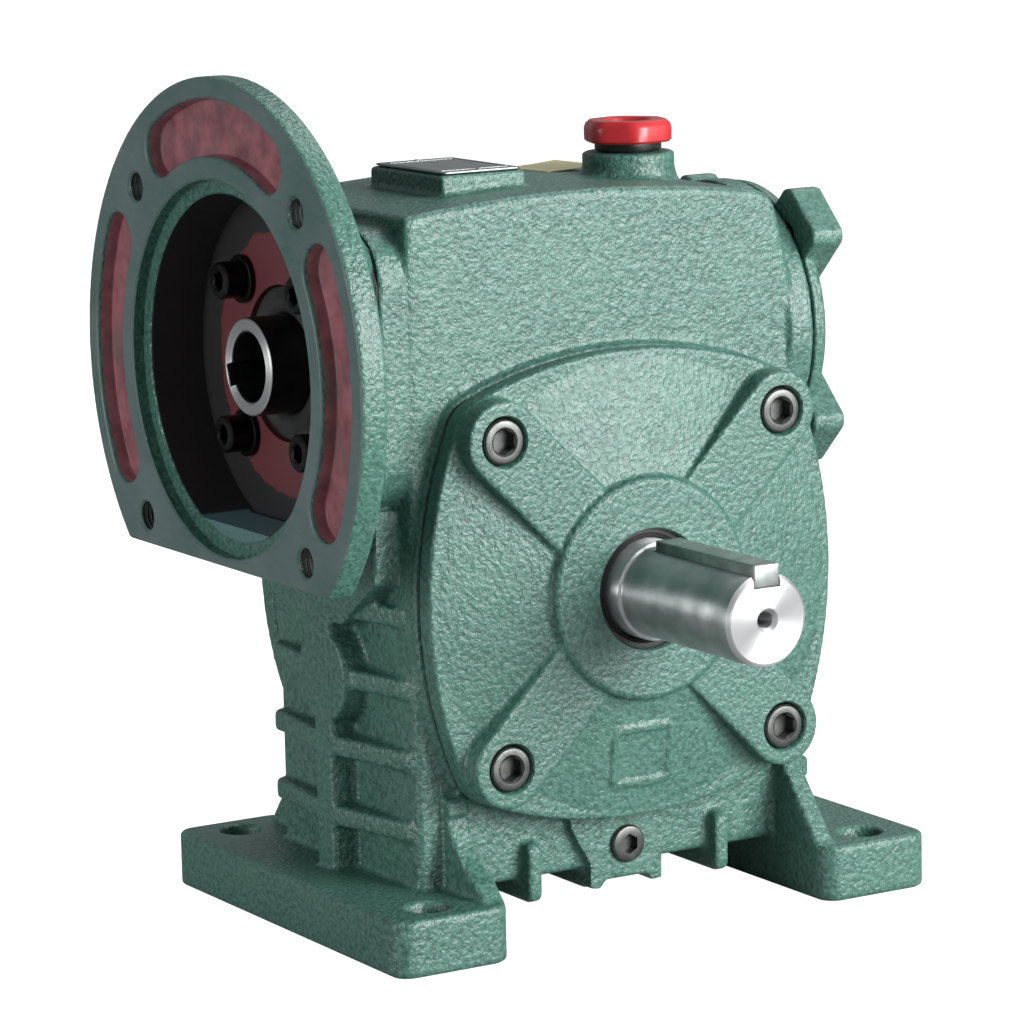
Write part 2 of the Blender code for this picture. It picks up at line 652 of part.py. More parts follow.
def thread_section(angle_deg, fade):
    """The thread's four corners at one angle round the worm, in the gearbox's coordinates."""
    angle = math.radians(angle_deg)
    middle = LEAD * (angle_deg + 90) / 360
    tip = WORM_ROOT_R - 1 + (WORM_TIP_R - WORM_ROOT_R + 1) * fade
    corners = []
    for radius, side in ((WORM_ROOT_R - 1, -1), (tip, -1), (tip, 1), (WORM_ROOT_R - 1, 1)):
        half = LEAD / 4 - FLANK_CLEARANCE - (radius - WORM_PITCH_R) * PRESSURE_TAN
        corners.append(
            (middle + side * half, radius * math.cos(angle), INPUT_Z + radius * math.sin(angle))
        )
    return corners


def build_worm_shaft():
    root = WORM_ROOT_R
    profile = [
        (0, WORM_REAR), (16, WORM_REAR), (WORM_SEAT_R, WORM_REAR - 1.5),
        (WORM_SEAT_R, 61.5), (21, 61.5), (21, 52), (root, 42), (root, -48), (22, -60), (22, -72.5),
        (WORM_SEAT_R, -72.5), (WORM_SEAT_R, -91), (WORM_SHAFT_R, -92.5), (WORM_SHAFT_R, WORM_MOUTH + 0.6),
        (WORM_SHAFT_R - 0.6, WORM_MOUTH), (0, WORM_MOUTH),
    ]
    shaft = turned("worm_shaft", profile, "X", (0, 0, INPUT_Z), STEEL)
    turns = 2 * THREAD_HALF_LENGTH / LEAD
    count = round(turns * THREAD_STEPS)
    sections = []
    for i in range(count + 1):
        angle = -90 + 360 * (i - count / 2) / THREAD_STEPS
        fade = min(1.0, min(i, count - i) / 5)
        sections.append(thread_section(angle, fade * 0.95 + 0.05 if fade < 1 else 1.0))
    combine(shaft, "UNION", [loft("worm_thread", sections)])
    tilt, reach, half_key = math.radians(MOTOR_KEYWAY_DEG), MOTOR_KEYWAY_REACH, MOTOR_KEYWAY_WIDTH / 2
    keyway = []
    for u, v in ((0, -half_key), (reach, -half_key), (reach, half_key), (0, half_key)):
        keyway.append(
            (u * math.cos(tilt) - v * math.sin(tilt), INPUT_Z + u * math.sin(tilt) + v * math.cos(tilt))
        )
    cutters = [
        cylinder("motor_bore", WORM_BORE_R, "X", (-125, 0, INPUT_Z), WORM_BORE_END + 125, sides=24),
        prism("motor_keyway", keyway, "X", -125, WORM_BORE_END - 3),
    ]
    return combine(shaft, "DIFFERENCE", cutters)


def slot_bounds(offset, radii):
    """Lowest and highest angle that the worm's thread ever reaches at each radius of the wheel,
    in the plane y = offset, while the two turn together."""
    heights = np.linspace(-math.sqrt(WORM_TIP_R**2 - offset**2), -11.5, 90)
    from_worm_axis = np.hypot(offset, heights)
    half = LEAD / 4 + FLANK_CLEARANCE - (from_worm_axis - WORM_PITCH_R) * PRESSURE_TAN
    shift = LEAD * np.arctan2(offset, -heights) / (2 * math.pi)
    low, high = np.full(len(radii), np.inf), np.full(len(radii), -np.inf)
    for travel in np.linspace(-28, 28, 225):
        for side in (-1, 1):
            x = travel + shift + side * half
            z = CENTRE_DISTANCE + heights
            reached = np.hypot(x, z)
            angle = np.arctan2(x, z) - travel / WHEEL_PITCH_R
            order = np.argsort(reached)
            inside = (radii >= reached.min()) & (radii <= reached.max())
            value = np.interp(radii, reached[order], angle[order])
            low = np.where(inside, np.minimum(low, value), low)
            high = np.where(inside, np.maximum(high, value), high)
    return low, high


def wheel_ring(offset):
    """The toothed wheel's outline in the plane y = offset."""
    bottom = CENTRE_DISTANCE - math.sqrt(WORM_TIP_R**2 - offset**2)
    throat = 4 * MODULE
    tip = WHEEL_OUTER_R
    if abs(offset) < throat:
        tip = min(tip, CENTRE_DISTANCE - math.sqrt(throat**2 - offset**2))
    radii = np.linspace(bottom + 0.1, tip, 2)
    low, high = slot_bounds(offset, radii)
    rise = [(radii[0] - 1.0, high[0])] + list(zip(radii, high))
    fall = list(zip(radii[::-1], low[::-1])) + [(radii[0] - 1.0, low[0])]
    ring = []
    for tooth in range(WHEEL_TEETH):
        centre = 2 * math.pi * tooth / WHEEL_TEETH
        for radius, angle in fall + rise:
            turn = centre + angle
            ring.append((radius * math.sin(turn), offset, OUTPUT_Z + radius * math.cos(turn)))
    return ring


def build_wheel():
    offsets = np.linspace(-WHEEL_HALF_WIDTH, WHEEL_HALF_WIDTH, 5)
    rim = loft("wheel_rim", [wheel_ring(float(offset)) for offset in offsets], BRONZE)
    combine(rim, "DIFFERENCE", [cylinder("rim_bore", 48.5, "Y", (0, -30, OUTPUT_Z), 60, sides=LARGE_STEPS)])
    half, bore = WHEEL_HUB_HALF, WHEEL_SEAT_R + GAP
    profile = [
        (33, half), (33, 8), (40, 8), (40, 15), (48, 15), (48, -15), (40, -15), (40, -8), (33, -8),
        (33, -half), (bore, -half), (bore, half),
    ]
    hub = turned("wheel_hub", profile, "Y", (0, 0, OUTPUT_Z), IRON, steps=LARGE_STEPS)
    low, high = (-7.3, -half - 5, OUTPUT_Z + 15), (7.3, half + 5, OUTPUT_Z + WHEEL_SEAT_R + 4.3)
    combine(hub, "DIFFERENCE", [box("hub_keyway", low, high)])
    box("wheel_key", (-7, -17, OUTPUT_Z + 17.3), (7, 17, OUTPUT_Z + WHEEL_SEAT_R + 3.7), STEEL)


def build_output_shaft():
    seat, half = OUTPUT_SEAT_R, WHEEL_HUB_HALF
    profile = [
        (0, OUTPUT_REAR), (seat - 1, OUTPUT_REAR), (seat, OUTPUT_REAR - 1), (seat, half),
        (WHEEL_SEAT_R, half), (WHEEL_SEAT_R, -half), (seat, -half), (seat, -52),
        (OUTPUT_SEAL_R, -54), (OUTPUT_SEAL_R, OUTPUT_STEP + 1), (OUTPUT_R, OUTPUT_STEP),
        (OUTPUT_R, OUTPUT_TIP + 1.3), (OUTPUT_R - 1.3, OUTPUT_TIP), (4, OUTPUT_TIP),
        (2.6, OUTPUT_TIP + 2), (2.6, OUTPUT_TIP + 18), (0, OUTPUT_TIP + 20),
    ]
    shaft = turned("output_shaft", profile, "Y", (0, 0, OUTPUT_Z), STEEL)
    half_key = OUTPUT_KEY_WIDTH / 2 + GAP
    floor = OUTPUT_Z + OUTPUT_KEY_LOW - GAP
    combine(
        shaft,
        "DIFFERENCE",
        [
            box("output_keyway", (-half_key, OUTPUT_TIP - 5, floor), (half_key, OUTPUT_KEY_START + 1, 160)),
            box("wheel_keyway", (-7.3, -17.3, OUTPUT_Z + 17), (7.3, 17.3, 160)),
        ],
    )
    box(
        "output_key",
        (-OUTPUT_KEY_WIDTH / 2, OUTPUT_TIP, OUTPUT_Z + OUTPUT_KEY_LOW),
        (OUTPUT_KEY_WIDTH / 2, OUTPUT_KEY_START, OUTPUT_Z + OUTPUT_KEY_HIGH),
        STEEL,
    )


# ---- bearings, seals and sleeves ---------------------------------------------------------------

def roller_cage(name, axis, at, low, high, middle_r, roller_r, count=9):
    """One ring of rollers held by their cage, as an outline pulled along the axis."""
    outer, inner = [], []
    reach = math.asin(roller_r / middle_r)
    for roller in range(count):
        for part in (-0.9, -0.4, 0.4, 0.9):
            offset = reach * part
            angle = 2 * math.pi * roller / count + offset
            bulge = math.sqrt(roller_r**2 - (middle_r * math.sin(offset)) ** 2)
            flat = middle_r * math.cos(offset)
            for ring, radius in ((outer, flat + bulge), (inner, flat - bulge)):
                ring.append((radius * math.cos(angle), radius * math.sin(angle)))
    bm = bmesh.new()
    rows = []
    for along, ring in ((low, outer), (high, outer), (high, inner), (low, inner)):
        rows.append([bm.verts.new(Vector((u, v, along)) * MM) for u, v in ring])
    for row, following in zip(rows, rows[1:] + rows[:1]):
        for i in range(len(row)):
            j = (i + 1) % len(row)
            bm.faces.new((row[i], row[j], following[j], following[i]))
    return add_object(name, mesh_from(bm, name), STEEL, at, AXIS_TURN[axis])


def build_bearing(prefix, axis, at, low, sizes):
    bore, outside, width = sizes
    high = low + width
    wall = (outside - bore) * 0.22
    inner_top, outer_bottom = bore + GAP + wall, outside - wall
    inner = [(inner_top, high), (inner_top, low), (bore + GAP, low), (bore + GAP, high)]
    outer = [(outside, high), (outside, low), (outer_bottom, low), (outer_bottom, high)]
    turned(f"{prefix}_inner_ring", inner, axis, at, STEEL)
    turned(f"{prefix}_outer_ring", outer, axis, at, STEEL)
    middle = (inner_top + outer_bottom) / 2
    roller_r = (outer_bottom - inner_top) / 2 - 0.7
    roller_cage(f"{prefix}_rollers", axis, at, low + 1.5, high - 1.5, middle, roller_r)


def build_bearings():
    input_axis, output_axis = (0, 0, INPUT_Z), (0, 0, OUTPUT_Z)
    build_bearing("input_bearing", "X", input_axis, WORM_BEARING_LEFT, WORM_BEARING)
    build_bearing("worm_rear_bearing", "X", input_axis, WORM_BEARING_RIGHT, WORM_BEARING)
    width = OUTPUT_BEARING[2]
    build_bearing("front_bearing", "Y", output_axis, -OUTPUT_BEARING_INNER_FACE - width, OUTPUT_BEARING)
    build_bearing("rear_bearing", "Y", output_axis, OUTPUT_BEARING_INNER_FACE, OUTPUT_BEARING)
    sleeve_r = OUTPUT_SEAT_R + GAP
    sleeves = {"front_sleeve": -OUTPUT_BEARING_INNER_FACE + GAP, "rear_sleeve": WHEEL_HUB_HALF + GAP}
    for name, low in sleeves.items():
        high = low + OUTPUT_BEARING_INNER_FACE - WHEEL_HUB_HALF - 2 * GAP
        turned(name, [(25, high), (25, low), (sleeve_r, low), (sleeve_r, high)], "Y", output_axis, STEEL)


def build_seals():
    """Lip seals, hollow on the oil side."""
    shaft, out = OUTPUT_SEAL_R + GAP, 25.0
    front, back = -69.7, -60.5
    profile = [(out, back), (out, front), (shaft, front), (shaft, back), (20, back), (20, front + 3),
               (22.5, front + 3), (22.5, back)]
    turned("output_seal", profile, "Y", (0, 0, OUTPUT_Z), RUBBER)
    shaft, out = WORM_SHAFT_R + GAP, 26.9
    front, back = -101.5, -95.4
    profile = [(out, back), (out, front), (shaft, front), (shaft, back), (19.5, back), (19.5, front + 2.5),
               (24.5, front + 2.5), (24.5, back)]
    turned("input_seal", profile, "X", (0, 0, INPUT_Z), RUBBER)


# ---- fittings and screws -----------------------------------------------------------------------

def hexagon(radius, centre=(0, 0)):
    return arc(centre, radius, 0, 300, 5)


def build_fittings():
    breather = (BREATHER_X, 0, 0)
    turned(
        "breather_neck",
        [(12, 267.2), (12, 264.3), (8.2, 264.3), (8.2, 250), (6, 250), (6, 267.2)],
        "Z", breather, RUBBER, steps=16,
    )
    cap = turned(
        "breather_cap",
        [(0, 274), (7.5, 274), (7.5, 275.4), (14.2, 275.4), (15.8, 274.4), (16.2, 272), (16.2, 269),
         (14.8, 267.5), (5.7, 267.5), (5.7, 255), (0, 255)],
        "Z", breather, RED_PLASTIC, steps=18,
    )
    cap.rotation_euler.z = math.radians(5)
    plug = turned(
        "drain_plug",
        [(0, -30), (4.6, -30), (4.6, -51.5), (6.7, -51.5), (6.7, -54.6), (0, -54.6)],
        "Y", (0, 0, DRAIN_Z), SCREW_STEEL, steps=12,
    )
    combine(plug, "DIFFERENCE", [
        prism("drain_socket", hexagon(3.6, (0, DRAIN_Z)), "Y", -60, -51)
    ])
    turned(
        "oil_level_plug",
        [(0, 93), (10, 93), (11, 92), (11, 88.3), (8.2, 88.3), (8.2, 68), (0, 68)],
        "X", (0, 0, LEVEL_Z), SCREW_STEEL, steps=12,
    )
    (x_low, y_low, _), (x_high, y_high, top) = PLATE_PAD
    low, high = (x_low + 1, y_low + 1, top + GAP), (x_high - 1, y_high - 1, top + GAP + 0.8)
    box("nameplate", low, high, PLATE_METAL)


def socket_screw(name, size, axis, at, sign, head_base, length):
    """A socket screw. head_base is the head's underside; sign points from the shank to the head."""
    shank_r, head_r, head, socket_r = size
    head_top = head_base + sign * head
    profile = [
        (0, head_top), (head_r, head_top), (head_r, head_base), (shank_r, head_base),
        (shank_r, head_base - sign * length), (0, head_base - sign * length),
    ]
    if sign < 0:
        profile.reverse()
    screw = turned(name, profile, axis, at, SCREW_STEEL, steps=12)
    low, high = sorted((head_top + sign * 5, head_top - sign * 5))
    across = [at[i] for i in range(3) if i != "XYZ".index(axis)]
    socket = prism(f"{name}_socket", hexagon(socket_r, across), axis, low, high)
    return combine(screw, "DIFFERENCE", [socket])


def build_screws():
    counterbore_floor = COVER_ARM - 10
    for index, (x, z) in enumerate(COVER_PLACES, 1):
        for name, side in (("front", -1), ("rear", 1)):
            base = side * (counterbore_floor + GAP)
            socket_screw(f"{name}_cover_screw_{index}", M10, "Y", (x, 0, z), side, base, 30)
    washer = BELL_FLOOR - GAP
    for index, (y, z) in enumerate(FLANGE_PLACES, 1):
        profile = [(8.5, washer), (8.5, washer - 2), (4.3, washer - 2), (4.3, washer)]
        turned(f"flange_washer_{index}", profile, "X", (0, y, z), SCREW_STEEL, steps=12)
        socket_screw(f"flange_screw_{index}", M8, "X", (0, y, z), -1, washer - 2 - GAP, 28)
    for index, (y, z) in enumerate(CAP_PLACES, 1):
        socket_screw(f"cap_screw_{index}", M8, "X", (0, y, z), 1, CAP_LUG - 6 + GAP, 26)


build_housing()
build_cover("front_cover", -1, True)
build_cover("rear_cover", 1, False)
build_cover_gasket("front_cover_gasket", -1)
build_cover_gasket("rear_cover_gasket", 1)
build_motor_flange()
build_flange_gasket()
build_rear_cap()
build_cap_gasket()
build_worm_shaft()
build_wheel()
build_output_shaft()
build_bearings()
build_seals()
build_fittings()
build_screws()
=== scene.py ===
"""Looks of the worm gearbox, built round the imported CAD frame.

Shapes are written in millimetres in the gearbox's own coordinates: the output shaft's axis is the line
x = 0, z = OUTPUT_Z, the casing's middle plane is y = 0 and the feet's soles are at z = 0. to_row() takes
a point from there to the frame. Castings are joined from clean solids, remeshed and softened so that
every edge gets the rounding of a casting, and machined faces are cut afterwards so they stay crisp.
"""

import json
import math

import bmesh
import bpy
from mathutils import Matrix, Vector


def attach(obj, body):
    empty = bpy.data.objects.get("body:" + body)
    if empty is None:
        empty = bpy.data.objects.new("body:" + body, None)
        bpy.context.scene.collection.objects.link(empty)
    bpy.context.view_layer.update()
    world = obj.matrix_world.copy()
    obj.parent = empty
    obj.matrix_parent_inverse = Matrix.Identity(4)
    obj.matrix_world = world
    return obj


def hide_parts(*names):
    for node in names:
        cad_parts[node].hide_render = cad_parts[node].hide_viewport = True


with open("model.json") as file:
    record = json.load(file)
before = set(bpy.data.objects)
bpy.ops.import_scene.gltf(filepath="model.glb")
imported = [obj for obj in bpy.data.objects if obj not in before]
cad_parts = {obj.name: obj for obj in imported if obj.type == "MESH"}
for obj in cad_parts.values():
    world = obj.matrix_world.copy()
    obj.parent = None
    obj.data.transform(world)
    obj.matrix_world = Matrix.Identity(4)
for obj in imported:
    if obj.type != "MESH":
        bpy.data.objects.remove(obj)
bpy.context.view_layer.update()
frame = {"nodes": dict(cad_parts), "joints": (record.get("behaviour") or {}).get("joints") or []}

MM = 0.001

# Gear pair
MODULE, WHEEL_TEETH = 4.0, 30
WORM_PITCH_R = 20.0
CENTRE_DISTANCE = WORM_PITCH_R + MODULE * WHEEL_TEETH / 2
LEAD = math.pi * MODULE
PRESSURE_TAN = math.tan(math.radians(20))
WORM_TIP_R = WORM_PITCH_R + MODULE
WORM_ROOT_R = WORM_PITCH_R - 1.2 * MODULE
FLANK_CLEARANCE = 0.27
THREAD_HALF_LENGTH = 28.0

# Axes
OUTPUT_Z = 120.0
INPUT_Z = OUTPUT_Z + CENTRE_DISTANCE

# Housing
BODY_LEFT, BODY_RIGHT, BODY_BOTTOM, BODY_HALF_DEPTH = -82.0, 79.0, 18.0, 49.0
CROWN_Z, CROWN_X, CROWN_R = 257.4, -12.0, 515.0
RIGHT_SIDE_START_Z, RIGHT_SIDE_R = 180.0, 230.0
INPUT_BOSS_HALF, INPUT_BOSS_CORNER_R, INPUT_BOSS_X = 48.5, 18.0, -92.0
REAR_BOSS_R, REAR_BOSS_X = 51.0, 83.5
CHAMBER_R, CAVITY_HALF_DEPTH, WORM_TUNNEL_R = 68.0, 24.0, 27.0
FOOT_INNER, FOOT_OUTER, FOOT_HALF_LENGTH, FOOT_HEIGHT = 65.0, 110.0, 82.5, 20.0
FOOT_HOLE_R, FOOT_HOLE_X, FOOT_HOLE_Y = 7.5, 90.0, 67.5
GUSSET_THICKNESS = 8.0
RIB_HEIGHTS, RIB_HALF = (40, 65, 90, 115), 3.6
FIN_X, FIN_R, KEEL_X = 39, 3.6, 13

# Covers
COVER_BOLT = 160.0 / 2 / math.sqrt(2)
COVER_HALF, COVER_LUG_R = 82.5, 14.5
PAD_FACE, COVER_BACK, COVER_RIM, COVER_ARM = 52.0, 53.1, 61.0, 69.5
COVER_BOSS_R, COVER_BOSS = 39.0, 72.0

# Motor flange
FLANGE_FACE, FLANGE_BACK, FLANGE_SEAT = -128.5, -118.5, -93.1
FLANGE_R, FLANGE_CUT, FLANGE_BOLT_R, FLANGE_TAP_R = 100.0, 68.5, 82.5, 5.0
REGISTER_R, REGISTER_DEPTH = 65.0, 4.5
BELL_R, BELL_FLOOR, BELL_FLAT = 60.0, -103.0, 55.0
NECK_R = 82.0
POCKET_INNER_R, POCKET_OUTER_R, POCKET_DEPTH = 73.0, 92.5, 6.0
POCKETS_DEG = ((55, 125), (144.5, 215.5), (-34.5, 34.5))
FLANGE_SCREW, CAP_SCREW = 27.0, 33.0

# Holes and seats, as radii
M10_TAP_R, M10_HOLE_R, M10_HEAD_BORE_R = 5.2, 5.4, 8.6
M8_TAP_R, M8_HOLE_R, M8_HEAD_BORE_R = 4.3, 4.6, 7.7
OUTPUT_BEARING_SEAT_R, OUTPUT_SEAL_SEAT_R = 40.3, 25.3
WORM_BEARING_SEAT_R, INPUT_SEAL_SEAT_R = 31.3, 27.3
DRAIN_HOLE_R, LEVEL_HOLE_R, BREATHER_HOLE_R = 5.2, 8.5, 8.5

# Shafts
OUTPUT_TIP, OUTPUT_STEP, OUTPUT_REAR = -142.0, -77.0, 49.5
OUTPUT_R, OUTPUT_SEAL_R, OUTPUT_SEAT_R, WHEEL_SEAT_R = 16.0, 17.5, 20.0, 22.5
KEY_HALF_WIDTH, KEY_LOW, KEY_HIGH, KEY_START = 5.0, 11.3, 19.0, -82.0
WORM_MOUTH, WORM_REAR, WORM_SHAFT_R, WORM_SEAT_R = -117.0, 81.0, 17.0, 17.5
WORM_BORE_R, WORM_BORE_END = 12.0, -62.0
MOTOR_KEYWAY = (8.0, 15.3, -17.0)
HUB_HALF = 22.0

# Rear cap and top fittings
CAP_SEAT, CAP_DISC, CAP_LUG, CAP_DOME = 84.6, 91.0, 98.0, 101.0
BREATHER_X, BREATHER_BOSS_R, BREATHER_BOSS_TOP = 39.0, 16.5, 264.0
DRAIN_Z, LEVEL_Z = 26.0, 89.0
PLATE_PAD = ((-53.0, -25.0, 250.0), (-19.0, 25.0, 263.0))

OUTPUT_JOINT = next(j for j in frame["joints"] if j["name"] == "output_spin")
SHIFT = Vector(OUTPUT_JOINT["pos_m"]) - Vector((0, 0, OUTPUT_Z)) * MM


# ---- mesh helpers ----

def to_row(point):
    return Vector(point) * MM + SHIFT


def in_scene(name, data):
    made = bpy.data.objects.new(name, data)
    bpy.context.scene.collection.objects.link(made)
    return made


def add_object(name, bm):
    """The finished bmesh as an object."""
    bmesh.ops.remove_doubles(bm, verts=bm.verts, dist=1e-7)
    bmesh.ops.recalc_face_normals(bm, faces=bm.faces)
    mesh = bpy.data.meshes.new(name)
    bm.to_mesh(mesh)
    bm.free()
    return in_scene(name, mesh)


def applied(obj):
    """obj with its modifiers made real."""
    graph = bpy.context.evaluated_depsgraph_get()
    mesh = bpy.data.meshes.new_from_object(obj.evaluated_get(graph))
    obj.modifiers.clear()
    old, obj.data = obj.data, mesh
    bpy.data.meshes.remove(old)
    return obj


def bevelled(obj, width, segments=3, angle=40):
    bevel = obj.modifiers.new("bevel", "BEVEL")
    bevel.width = width * MM
    bevel.segments = segments
    bevel.limit_method = "ANGLE"
    bevel.angle_limit = math.radians(angle)
    return applied(obj)


def combined(obj, operation, tools):
    for tool in tools:
        boolean = obj.modifiers.new(operation, "BOOLEAN")
        boolean.operation = operation
        boolean.solver = "MANIFOLD"
        boolean.object = tool
    applied(obj)
    for tool in tools:
        bpy.data.objects.remove(tool)
    return obj


def united(obj, *tools):
    return combined(obj, "UNION", tools)


def cut(obj, *tools):
    return combined(obj, "DIFFERENCE", tools)


def as_cast(obj, voxel, rounds):
    """Remeshes obj evenly and softens it, which rounds each edge as a sand casting's are."""
    remesh = obj.modifiers.new("remesh", "REMESH")
    remesh.mode = "VOXEL"
    remesh.voxel_size = voxel * MM
    soften = obj.modifiers.new("soften", "SMOOTH")
    soften.factor = 0.5
    soften.iterations = rounds
    return applied(obj)


def shaded(obj, material, angle=35):
    obj.data.materials.clear()
    obj.data.materials.append(material)
    for face in obj.data.polygons:
        face.material_index = 0
    obj.data.shade_smooth()
    obj.data.set_sharp_from_angle(angle=math.radians(angle))
    return obj


def box(low, high, bevel=0.0):
    bm = bmesh.new()
    bmesh.ops.create_cube(bm, size=1)
    low, high = to_row(low), to_row(high)
    bmesh.ops.scale(bm, vec=high - low, verts=bm.verts)
    bmesh.ops.translate(bm, vec=(high + low) / 2, verts=bm.verts)
    made = add_object("box", bm)
    return bevelled(made, bevel) if bevel else made


def prism(outline, axis, low, high):
    """An outline in the plane across axis (pairs in the order X, Y, Z), pulled from low to high."""
    spot = "XYZ".index(axis)
    bm = bmesh.new()
    rows = []
    for level in (low, high):
        row = []
        for pair in outline:
            place = list(pair)
            place.insert(spot, level)
            row.append(bm.verts.new(to_row(place)))
        rows.append(row)
    bm.faces.new(rows[0])
    bm.faces.new(rows[1])
    count = len(outline)
    for i in range(count):
        j = (i + 1) % count
        bm.faces.new((rows[0][i], rows[0][j], rows[1][j], rows[1][i]))
    return add_object("prism", bm)


def loft(rings):
    """A closed skin over rings that hold the same number of points."""
    bm = bmesh.new()
    rows = [[bm.verts.new(to_row(p)) for p in ring] for ring in rings]
    count = len(rows[0])
    for row, following in zip(rows, rows[1:]):
        for i in range(count):
            j = (i + 1) % count
            bm.faces.new((row[i], row[j], following[j], following[i]))
    bm.faces.new(rows[0])
    bm.faces.new(rows[-1])
    return add_object("loft", bm)


def axis_point(axis, centre, radius, angle, along):
    """The point at a radius and angle round an axis through centre, given by its two other values."""
    u, v = centre[0] + radius * math.cos(angle), centre[1] + radius * math.sin(angle)
    place = [u, v]
    place.insert("XYZ".index(axis), along)
    return place


def turned(profile, axis, centre, steps=96):
    """A lathe shape. profile holds (radius, place along the axis) and closes on itself."""
    bm = bmesh.new()
    rings = []
    for radius, along in profile:
        if radius == 0:
            rings.append([bm.verts.new(to_row(axis_point(axis, centre, 0, 0, along)))])
            continue
        angles = [2 * math.pi * i / steps for i in range(steps)]
        rings.append([bm.verts.new(to_row(axis_point(axis, centre, radius, a, along))) for a in angles])
    for first, second in zip(rings, rings[1:] + rings[:1]):
        if len(first) == len(second) == 1:
            continue
        for i in range(steps):
            j = (i + 1) % steps
            corners = [first[i % len(first)], first[j % len(first)]]
            corners += [second[j % len(second)], second[i % len(second)]]
            bm.faces.new([v for k, v in enumerate(corners) if v not in corners[:k]])
    return add_object("turned", bm)


def rod(radius, axis, centre, low, high, steps=64, bevel=0.0):
    """A solid cylinder with chamfers that are rounded in three steps."""
    ends = []
    for place, inward in ((low, 1), (high, -1)):
        turn = [math.radians(a) for a in (0, 30, 60, 90)] if bevel else [0]
        ring = [
            (radius - bevel * (1 - math.sin(a)), place + inward * bevel * (1 - math.cos(a))) for a in turn
        ]
        ends.append(ring if inward > 0 else ring[::-1])
    return turned([(0, low), *ends[0], *ends[1], (0, high)], axis, centre, steps)


def polar(centre, radius, degrees):
    angle = math.radians(degrees)
    return centre[0] + radius * math.cos(angle), centre[1] + radius * math.sin(angle)


def arc(centre, radius, start, end, steps):
    return [polar(centre, radius, start + (end - start) * i / steps) for i in range(steps + 1)]


def rounded_rectangle(low, high, radius, steps=6):
    points = []
    for sign_x, sign_y, start in ((1, 1, 0), (-1, 1, 90), (-1, -1, 180), (1, -1, 270)):
        corner = (
            (high[0] - radius) if sign_x > 0 else (low[0] + radius),
            (high[1] - radius) if sign_y > 0 else (low[1] + radius),
        )
        points += arc(corner, radius, start, start + 90, steps)
    return points


def square_corners(offset):
    return [(x, z) for z in (offset, -offset) for x in (-offset, offset)]


COVER_PLACES = [(x, z + OUTPUT_Z) for x, z in square_corners(COVER_BOLT)]
FLANGE_PLACES = [(y, z + INPUT_Z) for y, z in square_corners(FLANGE_SCREW)]
CAP_PLACES = [(y, z + INPUT_Z) for y, z in square_corners(CAP_SCREW)]
OUTPUT_CENTRE = (0, OUTPUT_Z)
INPUT_CENTRE = (0, INPUT_Z)
OUTPUT_LINE, WORM_LINE = ("Y", OUTPUT_CENTRE), ("X", INPUT_CENTRE)


# ---- materials ----

MIX_SOCKETS = {"FLOAT": (2, 3, 0), "VECTOR": (4, 5, 1), "RGBA": (6, 7, 2)}


